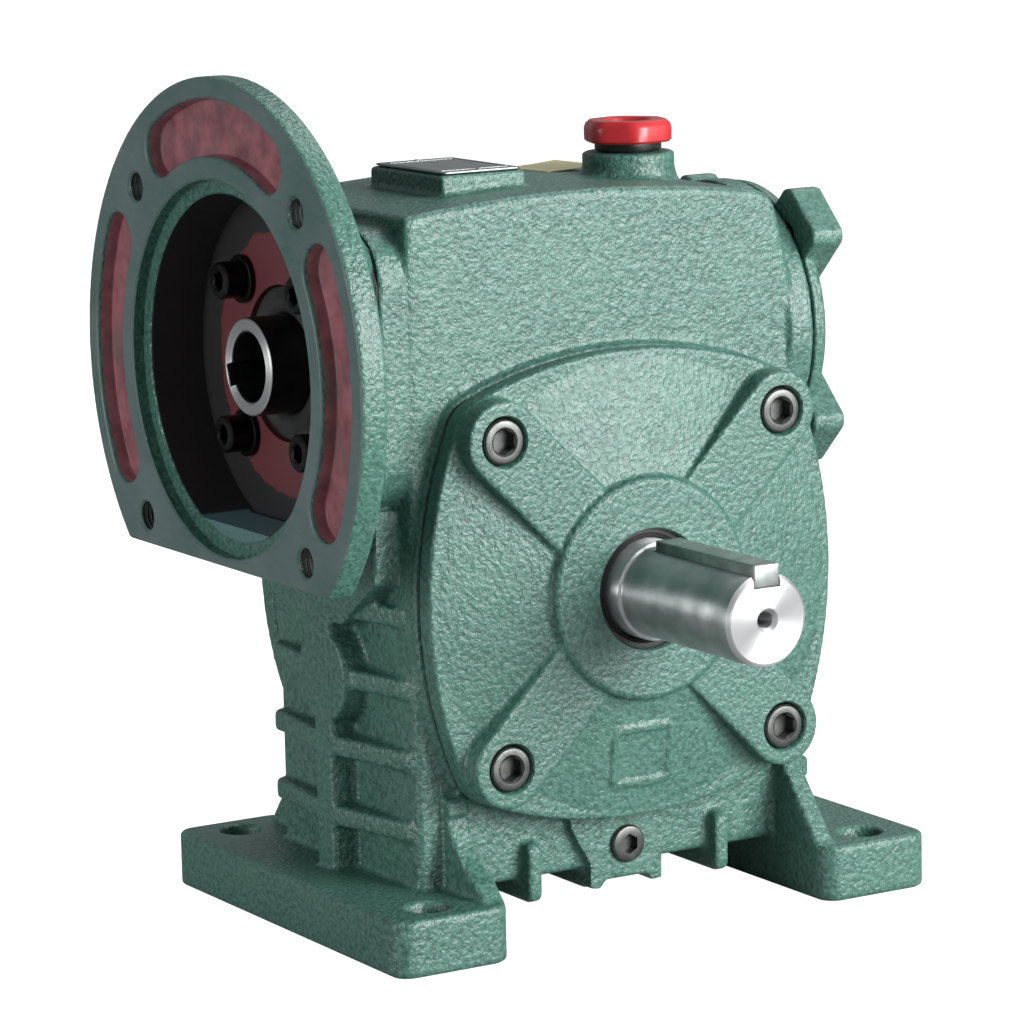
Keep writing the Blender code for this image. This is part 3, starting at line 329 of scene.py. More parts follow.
class Surface:
    """A procedural material under construction, on object coordinates in metres."""

    def __init__(self, name, roughness=0.5, metallic=0.0, **sockets):
        self.material = bpy.data.materials.new(name)
        self.material.use_nodes = True
        self.tree = self.material.node_tree
        self.shader = self.tree.nodes["Principled BSDF"]
        self.shader.inputs["Roughness"].default_value = roughness
        self.shader.inputs["Metallic"].default_value = metallic
        for socket, value in sockets.items():
            self.shader.inputs[socket.replace("_", " ")].default_value = value
        self.place = self.node("ShaderNodeTexCoord").outputs["Object"]

    def node(self, kind, inputs=None, **settings):
        made = self.tree.nodes.new(kind)
        for key, value in settings.items():
            setattr(made, key, value)
        for key, value in (inputs or {}).items():
            if isinstance(value, bpy.types.NodeSocket):
                self.tree.links.new(value, made.inputs[key])
            else:
                made.inputs[key].default_value = value
        return made

    def noise(self, size_mm, detail=2.0, roughness=0.5, distortion=0.0, place=None):
        """Noise whose features are about size_mm wide."""
        return self.node(
            "ShaderNodeTexNoise",
            {
                "Vector": place or self.place, "Scale": 1 / (size_mm * MM),
                "Detail": detail, "Roughness": roughness, "Distortion": distortion,
            },
        ).outputs["Fac"]

    def stretched(self, factors):
        """The place, stretched by a factor along each axis."""
        inputs = {0: self.place, 1: factors}
        return self.node("ShaderNodeVectorMath", inputs, operation="MULTIPLY").outputs[0]

    def math(self, operation, *values):
        return self.node("ShaderNodeMath", dict(enumerate(values)), operation=operation).outputs[0]

    def times(self, first, second):
        return self.math("MULTIPLY", first, second)

    def ramp(self, value, low, high, out_low=0.0, out_high=1.0):
        """value taken from the range low..high to out_low..out_high, and held at the ends."""
        inputs = {"Value": value, 1: low, 2: high, 3: out_low, 4: out_high}
        return self.node("ShaderNodeMapRange", inputs, clamp=True).outputs["Result"]

    def mix(self, factor, first, second, kind="RGBA"):
        """Between two values of a kind; a colour may be a tuple."""
        low, high, out = MIX_SOCKETS[kind]
        made = self.node("ShaderNodeMix", {"Factor": factor}, data_type=kind)
        for spot, value in ((low, first), (high, second)):
            if isinstance(value, bpy.types.NodeSocket):
                self.tree.links.new(value, made.inputs[spot])
            else:
                made.inputs[spot].default_value = (*value, 1.0)
        return made.outputs[out]

    def bump(self, height, depth_mm, strength=1.0):
        inputs = {"Height": height, "Distance": depth_mm * MM, "Strength": strength}
        return self.node("ShaderNodeBump", inputs).outputs["Normal"]

    def wired(self, **sockets):
        """The finished material, with values led into the shader's sockets."""
        for socket, value in sockets.items():
            self.tree.links.new(value, self.shader.inputs[socket.replace("_", " ")])
        return self.material

    def axes(self):
        """The place's x, y and z in the gearbox's own millimetres."""
        kind = "ShaderNodeVectorMath"
        moved = self.node(kind, {0: self.place, 1: SHIFT}, operation="SUBTRACT").outputs[0]
        scaled = self.node(kind, {0: moved, "Scale": 1 / MM}, operation="SCALE").outputs[0]
        return self.node("ShaderNodeSeparateXYZ", {0: scaled}).outputs[:3]

    def radius(self, first, second, centre):
        """Distance from a point in the plane of two of the place's values."""
        du = self.math("SUBTRACT", first, centre[0])
        dv = self.math("SUBTRACT", second, centre[1])
        return self.math("SQRT", self.math("ADD", self.times(du, du), self.times(dv, dv)))


# Paint, linear colours and millimetres
# The pebbles' pits take the darkest green as painted shade, and their crests the palest as a painted
# highlight.
PAINT_PIT_SHADE, PAINT, PAINT_CREST_HIGHLIGHT = (0.022, 0.068, 0.05), (0.038, 0.104, 0.082), (0.07, 0.155, 0.128)
PAINT_CLOUD = (0.06, 0.17, 0.12)
PEBBLE, PEBBLE_DEPTH = 1.8, 0.62
SATIN_DARK, SATIN, SATIN_STREAK = (0.045, 0.095, 0.083), (0.09, 0.13, 0.13), (0.13, 0.16, 0.155)
PRIMER_DARK, PRIMER, PRIMER_DUST = (0.13, 0.045, 0.055), (0.3, 0.11, 0.13), (0.1, 0.085, 0.085)
TAP_IRON = (0.05, 0.055, 0.055)
# Inside the bell: black painted shade on the walls, red primer darkened by painted shade on the floor, and a
# pale bluish painted highlight on the flat shelf.
BELL_PAINTED_SHADE, BELL_PRIMER_IN_SHADE, BELL_SHELF_HIGHLIGHT = (0.018, 0.018, 0.019), (0.11, 0.028, 0.034), (0.09, 0.17, 0.19)


def hammered(look):
    """The hammered paint's colour and normal: pebbles in the coat, with painted shade in their pits and a
    painted highlight on their crests.
    """
    pebbles = look.noise(PEBBLE, detail=1.6, distortion=0.15)
    fine = look.noise(PEBBLE * 0.35, detail=1.0)
    broad = look.noise(34.0, detail=3.0)
    height = look.math("ADD", pebbles, look.times(fine, 0.22))
    normal = look.bump(height, PEBBLE_DEPTH)
    # The crests are lightened as a painted highlight and the pits darkened as painted shade, both following
    # the pebbles' height.
    crest = look.ramp(pebbles, 0.45, 0.68)
    pit_shade = look.ramp(pebbles, 0.3, 0.47)
    colour = look.mix(pit_shade, PAINT_PIT_SHADE, PAINT)
    colour = look.mix(look.times(crest, 0.85), colour, PAINT_CREST_HIGHLIGHT)
    colour = look.mix(look.ramp(broad, 0.35, 0.75, 0.0, 0.35), colour, PAINT_CLOUD)
    return colour, normal


def hammered_paint():
    look = Surface("green_hammered_paint", Specular_IOR_Level=0.5)
    colour, normal = hammered(look)
    roughness = look.ramp(look.noise(4.0), 0.3, 0.7, 0.34, 0.46)
    return look.wired(Base_Color=colour, Normal=normal, Roughness=roughness)


def machined_face_coat(look, colour, ragged):
    """Where the flange's machined face is, and colour with the rubbed satin coat there."""
    face = look.ramp(ragged, FLANGE_FACE + 0.75, FLANGE_FACE + 0.95, 1.0, 0.0)
    cloud = look.noise(28.0, detail=4.0)
    streak = look.noise(1.6, detail=3.0, place=look.stretched((1, 0.25, 1)))
    satin = look.mix(look.ramp(cloud, 0.3, 0.72), SATIN_DARK, SATIN)
    satin = look.mix(look.ramp(streak, 0.4, 0.75, 0.0, 0.3), satin, SATIN_STREAK)
    return face, streak, look.mix(face, colour, satin)


def pocket_coat(look, colour, x, ragged, radius, outside_taps, primer_noise):
    """Where the flange's pockets are, and colour with red primer there."""
    floor = FLANGE_FACE + POCKET_DEPTH
    pocket = look.times(
        look.ramp(ragged, FLANGE_FACE + 1.4, FLANGE_FACE + 2.2),
        look.ramp(x, floor + 0.8, floor + 1.0, 1.0, 0.0),
    )
    pocket = look.times(pocket, look.ramp(radius, POCKET_INNER_R - 3, POCKET_INNER_R - 2.6))
    outer = look.ramp(radius, POCKET_OUTER_R + 1.2, POCKET_OUTER_R + 1.6, 1, 0)
    pocket = look.times(look.times(pocket, outer), outside_taps)
    primer = look.mix(look.ramp(primer_noise, 0.3, 0.7), PRIMER_DARK, PRIMER)
    dust = look.ramp(look.noise(20.0), 0.52, 0.7, 0.0, 0.55)
    return pocket, look.mix(pocket, colour, look.mix(dust, primer, PRIMER_DUST))


def bell_coat(look, colour, x, z, radius, primer_noise):
    """Where the bell's inside is, and colour with black painted shade there, red primer darkened by painted
    shade on the floor and a pale painted highlight on the shelf.
    """
    inside = look.times(
        look.ramp(radius, BELL_R + 0.5, BELL_R + 0.9, 1.0, 0.0),
        look.ramp(x, FLANGE_FACE + REGISTER_DEPTH + 0.6, FLANGE_FACE + REGISTER_DEPTH + 1.4),
    )
    floor = look.ramp(x, BELL_FLOOR - 1.2, BELL_FLOOR - 0.4)
    ragged_radius = look.math("SUBTRACT", radius, look.times(primer_noise, 6.0))
    patch = look.ramp(ragged_radius, 42.5, 43.5, 1, 0)
    # The walls get black painted shade, and the floor's red primer patch is darkened as painted shade.
    dark = look.mix(look.times(floor, patch), BELL_PAINTED_SHADE, BELL_PRIMER_IN_SHADE)
    # The flat shelf at the bell's bottom gets a pale bluish painted highlight.
    shelf_z = INPUT_Z - BELL_FLAT
    shelf_highlight = look.times(
        look.ramp(z, shelf_z + 0.5, shelf_z + 1.2, 1.0, 0.0),
        look.ramp(x, BELL_FLOOR - 2.4, BELL_FLOOR - 1.4, 1.0, 0.0),
    )
    return inside, look.mix(inside, colour, look.mix(shelf_highlight, dark, BELL_SHELF_HIGHLIGHT))


def flange_paint():
    """Hammered outside, rubbed smooth on the machined face, red primer in the pockets, black painted shade
    in the bell.
    """
    look = Surface("green_flange_paint", Specular_IOR_Level=0.4)
    colour, normal = hammered(look)
    x, y, z = look.axes()
    radius = look.radius(y, z, INPUT_CENTRE)
    ragged = look.math("ADD", x, look.times(look.noise(7.0, detail=4.0), 0.6))
    face, streak, colour = machined_face_coat(look, colour, ragged)
    tap_place = FLANGE_BOLT_R / math.sqrt(2)
    side = look.math("ABSOLUTE", y)
    height = look.math("ABSOLUTE", look.math("SUBTRACT", z, INPUT_Z))
    outside_taps = look.ramp(look.radius(side, height, (tap_place, tap_place)), 6.6, 7.0)
    primer_noise = look.noise(9.0, detail=5.0, roughness=0.6)
    pocket, colour = pocket_coat(look, colour, x, ragged, radius, outside_taps, primer_noise)
    below_face = look.ramp(x, FLANGE_FACE + 0.7, FLANGE_FACE + 1.2)
    bare = look.times(look.math("SUBTRACT", 1.0, outside_taps), below_face)
    colour = look.mix(bare, colour, TAP_IRON)
    inside, colour = bell_coat(look, colour, x, z, radius, primer_noise)
    plain = look.math("MAXIMUM", look.math("MAXIMUM", face, pocket), inside)
    normal = look.mix(plain, normal, look.bump(streak, 0.02), "VECTOR")
    roughness = look.ramp(plain, 0.0, 1.0, 0.32, 0.42)
    return look.wired(Base_Color=colour, Normal=normal, Roughness=roughness)


def machined_steel(name, centre, axis, face_at, dark=(0.36, 0.37, 0.37), bright=(0.56, 0.57, 0.57)):
    """Ground steel with fine rings along its length, and a turned end with circular tool marks."""
    look = Surface(name, metallic=1.0, Anisotropic=0.85, Anisotropic_Rotation=0.25)
    tangent = look.node("ShaderNodeTangent", direction_type="RADIAL", axis=axis).outputs[0]
    places = dict(zip("XYZ", look.axes()))
    across = [places[a] for a in "XYZ" if a != axis]
    radius = look.radius(*across, centre)
    end = look.ramp(places[axis], face_at + 0.35, face_at + 0.55, 1.0, 0.0)
    lines = []
    for value, size in ((places[axis], 0.35), (radius, 0.22)):
        line = look.node("ShaderNodeCombineXYZ", {0: look.times(value, MM)}).outputs[0]
        lines.append(look.noise(size, detail=3.0, roughness=0.7, place=line))
    length_rings, end_rings = lines
    blotch = look.noise(11.0, detail=4.0)
    body = look.mix(look.ramp(blotch, 0.35, 0.7), dark, tuple(c * 1.5 for c in dark))
    colour = look.mix(end, body, bright)
    ring = look.times(end, look.ramp(end_rings, 0.4, 0.6))
    colour = look.mix(ring, colour, (0.55, 0.56, 0.56))
    normal = look.bump(look.mix(end, length_rings, end_rings, "FLOAT"), 0.006, 0.8)
    roughness = look.ramp(blotch, 0.3, 0.7, 0.36, 0.46)
    return look.wired(Base_Color=colour, Normal=normal, Roughness=roughness, Tangent=tangent)


def plain_metal(name, dark, bright, roughness, grain=0.6, depth=0.01, scratch=(1, 1, 1)):
    """A metal with a cloudy tone, fine grain and a roughness that varies."""
    look = Surface(name, metallic=1.0)
    cloud = look.noise(6.0, detail=4.0)
    fine = look.noise(grain, detail=3.0, place=look.stretched(scratch))
    colour = look.mix(look.ramp(cloud, 0.32, 0.7), dark, bright)
    roughness = look.ramp(fine, 0.3, 0.7, roughness - 0.07, roughness + 0.09)
    return look.wired(Base_Color=colour, Normal=look.bump(fine, depth), Roughness=roughness)


def moulded(name, dark, light, roughness, grain=0.5, depth=0.01, speckle=None, **sockets):
    """A plastic, rubber or paper: slight mottling and a fine moulded grain."""
    look = Surface(name, **sockets)
    cloud = look.noise(9.0, detail=3.0)
    fine = look.noise(grain, detail=2.0)
    colour = look.mix(look.ramp(cloud, 0.3, 0.72), dark, light)
    if speckle:
        spots = look.ramp(look.noise(1.1, detail=4.0), 0.62, 0.7, 0.0, 0.6)
        colour = look.mix(spots, colour, speckle)
    roughness = look.ramp(cloud, 0.3, 0.7, roughness - 0.05, roughness + 0.07)
    return look.wired(Base_Color=colour, Normal=look.bump(fine, depth), Roughness=roughness)


GREEN = hammered_paint()
FLANGE_GREEN = flange_paint()
SHAFT_STEEL = machined_steel("ground_output_steel", OUTPUT_CENTRE, "Y", OUTPUT_TIP)
WORM_STEEL = machined_steel(
    "ground_worm_steel", INPUT_CENTRE, "X", WORM_MOUTH, dark=(0.02, 0.02, 0.021), bright=(0.7, 0.7, 0.7)
)
KEY_STEEL = plain_metal("key_steel", (0.2, 0.22, 0.215), (0.34, 0.36, 0.35), 0.36, scratch=(6, 0.3, 6))
SCREW_STEEL = plain_metal("screw_steel", (0.07, 0.075, 0.072), (0.13, 0.135, 0.13), 0.42, depth=0.012)
DARK_SCREW_STEEL = plain_metal("black_screw_steel", (0.012, 0.012, 0.012), (0.03, 0.03, 0.03), 0.38)
BEARING_STEEL = plain_metal("bearing_steel", (0.42, 0.43, 0.44), (0.6, 0.61, 0.62), 0.2)
BRONZE = plain_metal("bronze", (0.5, 0.29, 0.1), (0.66, 0.43, 0.19), 0.32)
IRON = plain_metal("cast_iron", (0.07, 0.07, 0.072), (0.16, 0.16, 0.16), 0.6, grain=1.2, depth=0.06)
PLATE = plain_metal("plate_aluminium", (0.18, 0.2, 0.195), (0.26, 0.28, 0.275), 0.42, scratch=(0.2, 6, 6))
RUBBER = moulded("black_rubber", (0.006, 0.006, 0.006), (0.014, 0.014, 0.014), 0.5)
NECK_PLASTIC = moulded("black_plastic", (0.006, 0.006, 0.006), (0.013, 0.013, 0.013), 0.34)
PAPER = moulded("gasket_paper", (0.02, 0.019, 0.017), (0.05, 0.046, 0.04), 0.85, grain=0.8, depth=0.03)
RED = moulded(
    "red_plastic", (0.34, 0.01, 0.014), (0.45, 0.017, 0.023), 0.34, depth=0.006,
    Coat_Weight=0.2, Coat_Roughness=0.15,
)
STICKER = moulded(
    "yellow_sticker", (0.6, 0.54, 0.24), (0.7, 0.64, 0.33), 0.38, speckle=(0.35, 0.28, 0.12), Coat_Weight=0.3
)


def finished(obj, name, node, material, angle=35, body="casing"):
    """Names a piece, gives it its material and hands it to the frame."""
    obj.name = obj.data.name = name
    shaded(obj, material, angle)
    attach(obj, body)
    if node:
        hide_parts(node)


# ---- housing ----

def body_outline():
    crown_centre = (CROWN_X, CROWN_Z - CROWN_R)
    side_centre = (BODY_RIGHT - RIGHT_SIDE_R, RIGHT_SIDE_START_Z)
    corner = (61.0, 246.0)
    left_deg = 90 + math.degrees(math.asin((CROWN_X - BODY_LEFT) / CROWN_R))
    right_deg = 90 - math.degrees(math.asin((corner[0] - CROWN_X) / CROWN_R))
    side_end = math.degrees(math.asin((corner[1] - 1 - side_centre[1]) / RIGHT_SIDE_R))
    crown = arc(crown_centre, CROWN_R, right_deg, left_deg, 28)
    side = arc(side_centre, RIGHT_SIDE_R, 0, side_end, 14)
    start, end = Vector(side[-1]), Vector(crown[0])
    control = Vector((end.x + 6.5, end.y - 0.9))
    turn = []
    for i in range(1, 6):
        t = i / 6
        turn.append(tuple((1 - t) ** 2 * start + 2 * t * (1 - t) * control + t * t * end))
    return [(BODY_LEFT, BODY_BOTTOM), (BODY_RIGHT, BODY_BOTTOM)] + side + turn + crown


def cover_outline(grow=0.0, side_steps=24, lug_steps=12):
    lug, half = COVER_LUG_R + grow, COVER_HALF + grow
    inset = half - lug
    back = (2 * COVER_BOLT**2 - inset**2) / (2 * (inset - COVER_BOLT))
    tangent = math.degrees(math.atan2(COVER_BOLT, COVER_BOLT + back))
    points = []
    for quarter in range(4):
        turn = 90 * quarter
        cos, sin = (round(value) for value in polar((0, 0), 1, turn))

        def spin(x, z):
            return cos * x - sin * z, sin * x + cos * z

        points += arc(spin(-back, 0), half + back, turn - tangent, turn + tangent, side_steps)[:-1]
        points += arc(spin(COVER_BOLT, COVER_BOLT), lug, turn + tangent, turn + 90 - tangent, lug_steps)[:-1]
    return [(x, z + OUTPUT_Z) for x, z in points]


def gusset(x_inner, front):
    side = -1 if front else 1
    slope = [(50.5, 51), (55, 46), (77, 19), (77, 8)]
    if front and x_inner < 0:
        slope = [(53.5, 52), (54.5, 46.5), (52.8, 45)] + arc((84, 56), 33, 199, 247, 8) + [(77, 20), (77, 8)]
    outline = [(side * y, z) for y, z in [(44, 8), (44, 52)] + slope]
    return bevelled(prism(outline, "X", x_inner, x_inner + GUSSET_THICKNESS), 0.7, 2, 50)


def side_rib(side, z):
    """side -1 is the flange's side: there the rib's front half dies out at the corner."""
    if side < 0:
        outline = [(-76, -47), (-82, -47), (-84, -43), (-92, -7), (-92, 6), (-88.5, 36)]
        outline += arc((-82.5, 40), 6, 175, 110, 6) + [(-76, 46)]
    else:
        outline = [(72, 46)] + arc((80, 38), 6.5, 70, 0, 6) + arc((80, -38), 6.5, 0, -70, 6) + [(72, -46)]
    return bevelled(prism(outline, "Z", z - RIB_HALF, z + RIB_HALF), 1.2, 2)


def drain_boss():
    outline = [(-24, 46), (-24, 40), (-22.4, 33), (-19.2, 27), (-16.2, 22.5), (-15, 19), (-15, 11.5)]
    mirrored = [(-x, z) for x, z in reversed(outline)]
    floor = [(-11, 10.5), (-8.5, 13.5), (8.5, 13.5), (11, 10.5)]
    return prism(outline + floor + mirrored, "Y", -52.4, -30)


def breather_boss():
    top, radius = BREATHER_BOSS_TOP, BREATHER_BOSS_R
    profile = [
        (0, 244), (radius + 1.4, 244), (radius + 1.0, 255.0), (radius + 0.3, 257.0), (radius, 259),
        (radius, top - 0.6), (radius - 0.6, top), (0, top),
    ]
    return turned(profile, "Z", (BREATHER_X, 0), 64)


def corner_lugs(low, high):
    """Four blocks at 45 degrees round the worm's axis, for the rear cap's screws."""
    outline = [(20, -13), (57, -13), (60, -10), (60, 10), (57, 13), (20, 13)]
    scale = 1 / math.sqrt(2)
    lugs = []
    for y, z in square_corners(1):
        points = [((u * y - v * z) * scale, INPUT_Z + (u * z + v * y) * scale) for u, v in outline]
        lugs.append(bevelled(prism(points, "X", low, high), 0.8, 2, 30))
    return lugs


def housing_shell():
    body = bevelled(prism(body_outline(), "Y", -BODY_HALF_DEPTH, BODY_HALF_DEPTH), 2.2, 2)
    boss = [
        (y, z + INPUT_Z)
        for y, z in rounded_rectangle(
            (-INPUT_BOSS_HALF, -INPUT_BOSS_HALF), (INPUT_BOSS_HALF, INPUT_BOSS_HALF), INPUT_BOSS_CORNER_R
        )
    ]
    tools = [
        prism(cover_outline(0.4), "Y", -PAD_FACE, -40),
        prism(cover_outline(0.4), "Y", 40, PAD_FACE),
        prism(boss, "X", INPUT_BOSS_X, -70),
        rod(REAR_BOSS_R, *WORM_LINE, 74, REAR_BOSS_X, 96),
        breather_boss(),
        box(*PLATE_PAD, bevel=0.9),
        drain_boss(),
        rod(10, "X", (0, LEVEL_Z), 68, 87.6, 48),
    ]
    for side, face in ((-1, -92.0), (1, 86.0)):
        near, far = sorted((face, side * 70.0))
        tools.append(box((near, -6, 14), (far, 6, 118), bevel=1.0))
        tools.append(rod(16.8, "X", (0, LEVEL_Z), near, far, 64, bevel=1.0))
        tools += [side_rib(side, z) for z in RIB_HEIGHTS]
    levels = ((109, -14, 26, -91), (117, -26, 33, -92), (127, -40, 44, -92), (152, -40, 44, -91))
    tools.append(loft([
        [(-70, front, z), (face, front, z), (face, back, z), (-70, back, z)]
        for z, front, back, face in levels
    ]))
    for side in (-1, 1):
        x_low, x_high = sorted((side * FOOT_INNER, side * FOOT_OUTER))
        bar = rounded_rectangle((x_low, -FOOT_HALF_LENGTH), (x_high, FOOT_HALF_LENGTH), 7.0)
        tools.append(bevelled(prism(bar, "Z", 0, FOOT_HEIGHT), 1.3, 3, 50))
        inner = FOOT_INNER if side > 0 else -FOOT_INNER - GUSSET_THICKNESS
        tools += [gusset(inner, True), gusset(inner, False)]
        fin = arc((-51.5, 28), FIN_R, 180, 90, 6) + arc((51.5, 28), FIN_R, 90, 0, 6)
        fin += arc((51.5, 14), FIN_R, 0, -90, 6) + arc((-51.5, 14), FIN_R, 270, 180, 6)
        tools.append(bevelled(prism(fin, "X", side * FIN_X - 2.8, side * FIN_X + 2.8), 1.3, 3, 50))
        keel = side * KEEL_X
        tools.append(box((keel - 2.6, -48, 10.8), (keel + 2.6, 48, 22), bevel=1.0))
    return as_cast(united(body, *tools), 0.95, 2)


def screw_bores(places, axis, low, high, radius, steps=32):
    return [rod(radius, axis, place, low, high, steps) for place in places]


def build_housing():
    housing = housing_shell()
    foot_places = [(x, y) for x in (-FOOT_HOLE_X, FOOT_HOLE_X) for y in (-FOOT_HOLE_Y, FOOT_HOLE_Y)]
    rim = [
        (0, 14), (FOOT_HOLE_R, 14), (FOOT_HOLE_R, FOOT_HEIGHT - 1.0),
        (FOOT_HOLE_R + 1.6, FOOT_HEIGHT + 0.5), (0, 26),
    ]
    cut(
        housing,
        rod(CHAMBER_R, *OUTPUT_LINE, -60, 60, 96),
        box((-73, -CAVITY_HALF_DEPTH, 28), (70, CAVITY_HALF_DEPTH, 163)),
        box((-70, -CAVITY_HALF_DEPTH, 160), (59, CAVITY_HALF_DEPTH, 246)),
        rod(WORM_TUNNEL_R, *WORM_LINE, -99, 95),
        rod(WORM_BEARING_SEAT_R, *WORM_LINE, -99, -72.7),
        rod(WORM_BEARING_SEAT_R, *WORM_LINE, 61.5, 95),
        rod(BREATHER_HOLE_R, "Z", (BREATHER_X, 0), 240, 270),
        rod(DRAIN_HOLE_R, "Y", (0, DRAIN_Z), -60, -22, 32),
        rod(LEVEL_HOLE_R, "X", (0, LEVEL_Z), 60, 95),
        *screw_bores(foot_places, "Z", -5, 22, FOOT_HOLE_R, 48),
        *[turned(rim, "Z", place, 48) for place in foot_places],
        *screw_bores(COVER_PLACES, "Y", -60, -27.5, M10_TAP_R),
        *screw_bores(COVER_PLACES, "Y", 27.5, 60, M10_TAP_R),
        *screw_bores(FLANGE_PLACES, "X", -99, -75, M8_TAP_R),
        *screw_bores(CAP_PLACES, "X", 64, 95, M8_TAP_R),
        box((-130, -130, -20), (130, 130, 0)),
    )
    finished(housing, "housing_casting", "housing", GREEN, 50)


# ---- covers ----

def blank_mark():
    """A raised empty frame that follows the cover's lower slope."""
    outer, inner = ((-13, 49), (12, 71)), ((-11, 51), (10, 69))
    ring = prism(rounded_rectangle(*outer, 4.0), "Y", -75, -58)
    ring = cut(ring, prism(rounded_rectangle(*inner, 2.4), "Y", -80, -50))
    slope = [(0, -69.4), (COVER_BOSS_R, -68.9), (79, -COVER_RIM - 1.2), (79, -58), (0, -58)]
    return combined(turned(slope, *OUTPUT_LINE, 128), "INTERSECT", [ring])


def build_cover(name, side, open_centre):
    def span(low, high):
        return sorted((side * low, side * high))

    plate = bevelled(prism(cover_outline(), "Y", *span(COVER_BACK, COVER_RIM)), 0.9, 2)
    tools = []
    for deg in (45, 135):
        cos, sin = polar((0, 0), 1, deg)
        far, half = COVER_BOLT * math.sqrt(2), COVER_LUG_R - 0.5
        slot = arc((far, 0), half, -90, 90, 20) + arc((-far, 0), half, 90, 270, 20)
        turned_slot = [(u * cos - v * sin, OUTPUT_Z + u * sin + v * cos) for u, v in slot]
        tools.append(bevelled(prism(turned_slot, "Y", *span(COVER_BACK + 2, COVER_ARM)), 0.8, 2, 60))
    cone = [(0, 68.5), (COVER_BOSS_R, 68.0), (79, COVER_RIM + 0.3), (80, COVER_RIM - 2), (79, 56), (0, 56)]
    boss = [
        (0, COVER_BOSS), (COVER_BOSS_R - 1.5, COVER_BOSS), (COVER_BOSS_R - 0.2, COVER_BOSS - 0.8),
        (COVER_BOSS_R + 0.6, 66), (COVER_BOSS_R + 0.6, 56), (0, 56),
    ]
    for profile in (cone, boss):
        tools.append(turned([(r, side * a) for r, a in profile], *OUTPUT_LINE, 128))
    if open_centre:
        tools.append(blank_mark())
    cast = as_cast(united(plate, *tools), 0.75, 1)
    spigot = [
        (47.5, 55), (67.4, 55), (67.4, 44), (62, 44), (62, 50), (49, 50), (49, 33),
        (OUTPUT_BEARING_SEAT_R, 33), (OUTPUT_BEARING_SEAT_R, 55),
    ]
    united(cast, turned([(r, side * a) for r, a in spigot], *OUTPUT_LINE, 96))
    bore_mouth = [(0, 68.6), (M10_HEAD_BORE_R, 68.7), (M10_HEAD_BORE_R + 1, 70.0), (0, 71)]
    tools = [
        rod(OUTPUT_BEARING_SEAT_R, *OUTPUT_LINE, *span(20, 49.8), 96),
        rod(30, *OUTPUT_LINE, *span(20, 59), 64),
        *screw_bores(COVER_PLACES, "Y", *span(COVER_ARM - 10, COVER_ARM + 10), M10_HEAD_BORE_R, 48),
        *screw_bores(COVER_PLACES, "Y", *span(40, 80), M10_HOLE_R),
        *[turned([(r, side * a) for r, a in bore_mouth], "Y", place, 48) for place in COVER_PLACES],
    ]
    if open_centre:
        tools.append(rod(OUTPUT_SEAL_SEAT_R, *OUTPUT_LINE, -70, -40, 96))
        mouth = [(0, -60), (21, -60), (21, -71.2), (22.2, -73), (0, -73)]
        tools.append(turned(mouth, *OUTPUT_LINE, 96))
    cut(cast, *tools)
    finished(cast, f"{name}_casting", name, GREEN, 50)


# ---- motor flange and rear cap ----

def neck_ring(x, blend, count=96):
    ring = []
    flat, corner = INPUT_BOSS_HALF - INPUT_BOSS_CORNER_R, INPUT_BOSS_CORNER_R
    for i in range(count):
        cos, sin = polar((0, 0), 1, 360 * i / count)
        reach = INPUT_BOSS_HALF / max(abs(cos), abs(sin))
        if min(abs(cos), abs(sin)) * reach > flat:
            along = flat * (abs(cos) + abs(sin))
            reach = along + math.sqrt(along**2 - 2 * flat**2 + corner**2)
        radius = reach * (1 - blend) + NECK_R * blend
        ring.append((x, radius * cos, max(INPUT_Z + radius * sin, INPUT_Z - FLANGE_CUT + 1)))
    return ring


def pocket_outline(start, end, grow=0.0):
    middle = (POCKET_INNER_R + POCKET_OUTER_R) / 2
    half_width = (POCKET_OUTER_R - POCKET_INNER_R) / 2
    inset, half = math.degrees(half_width / middle), half_width + grow
    low, high = start + inset, end - inset
    points = arc((0, 0), POCKET_OUTER_R + grow, low, high, 24)
    points += arc(polar((0, 0), middle, high), half, high, high + 180, 14)[1:-1]
    points += arc((0, 0), POCKET_INNER_R - grow, high, low, 24)
    points += arc(polar((0, 0), middle, low), half, low + 180, low + 360, 14)[1:-1]
    return [(y, z + INPUT_Z) for y, z in points]


def flange_pocket(start, end):
    """The tool for one pocket: a softened mouth, straight walls and a fillet at the floor."""
    levels = ((-5, 0.9), (0, 0.9), (0.3, 0.35), (0.9, 0.0), (4.6, 0.0), (5.6, -0.4), (POCKET_DEPTH, -1.4))
    rings = []
    for depth, grow in levels:
        rings.append([(FLANGE_FACE + depth, y, z) for y, z in pocket_outline(start, end, grow)])
    return loft(rings)


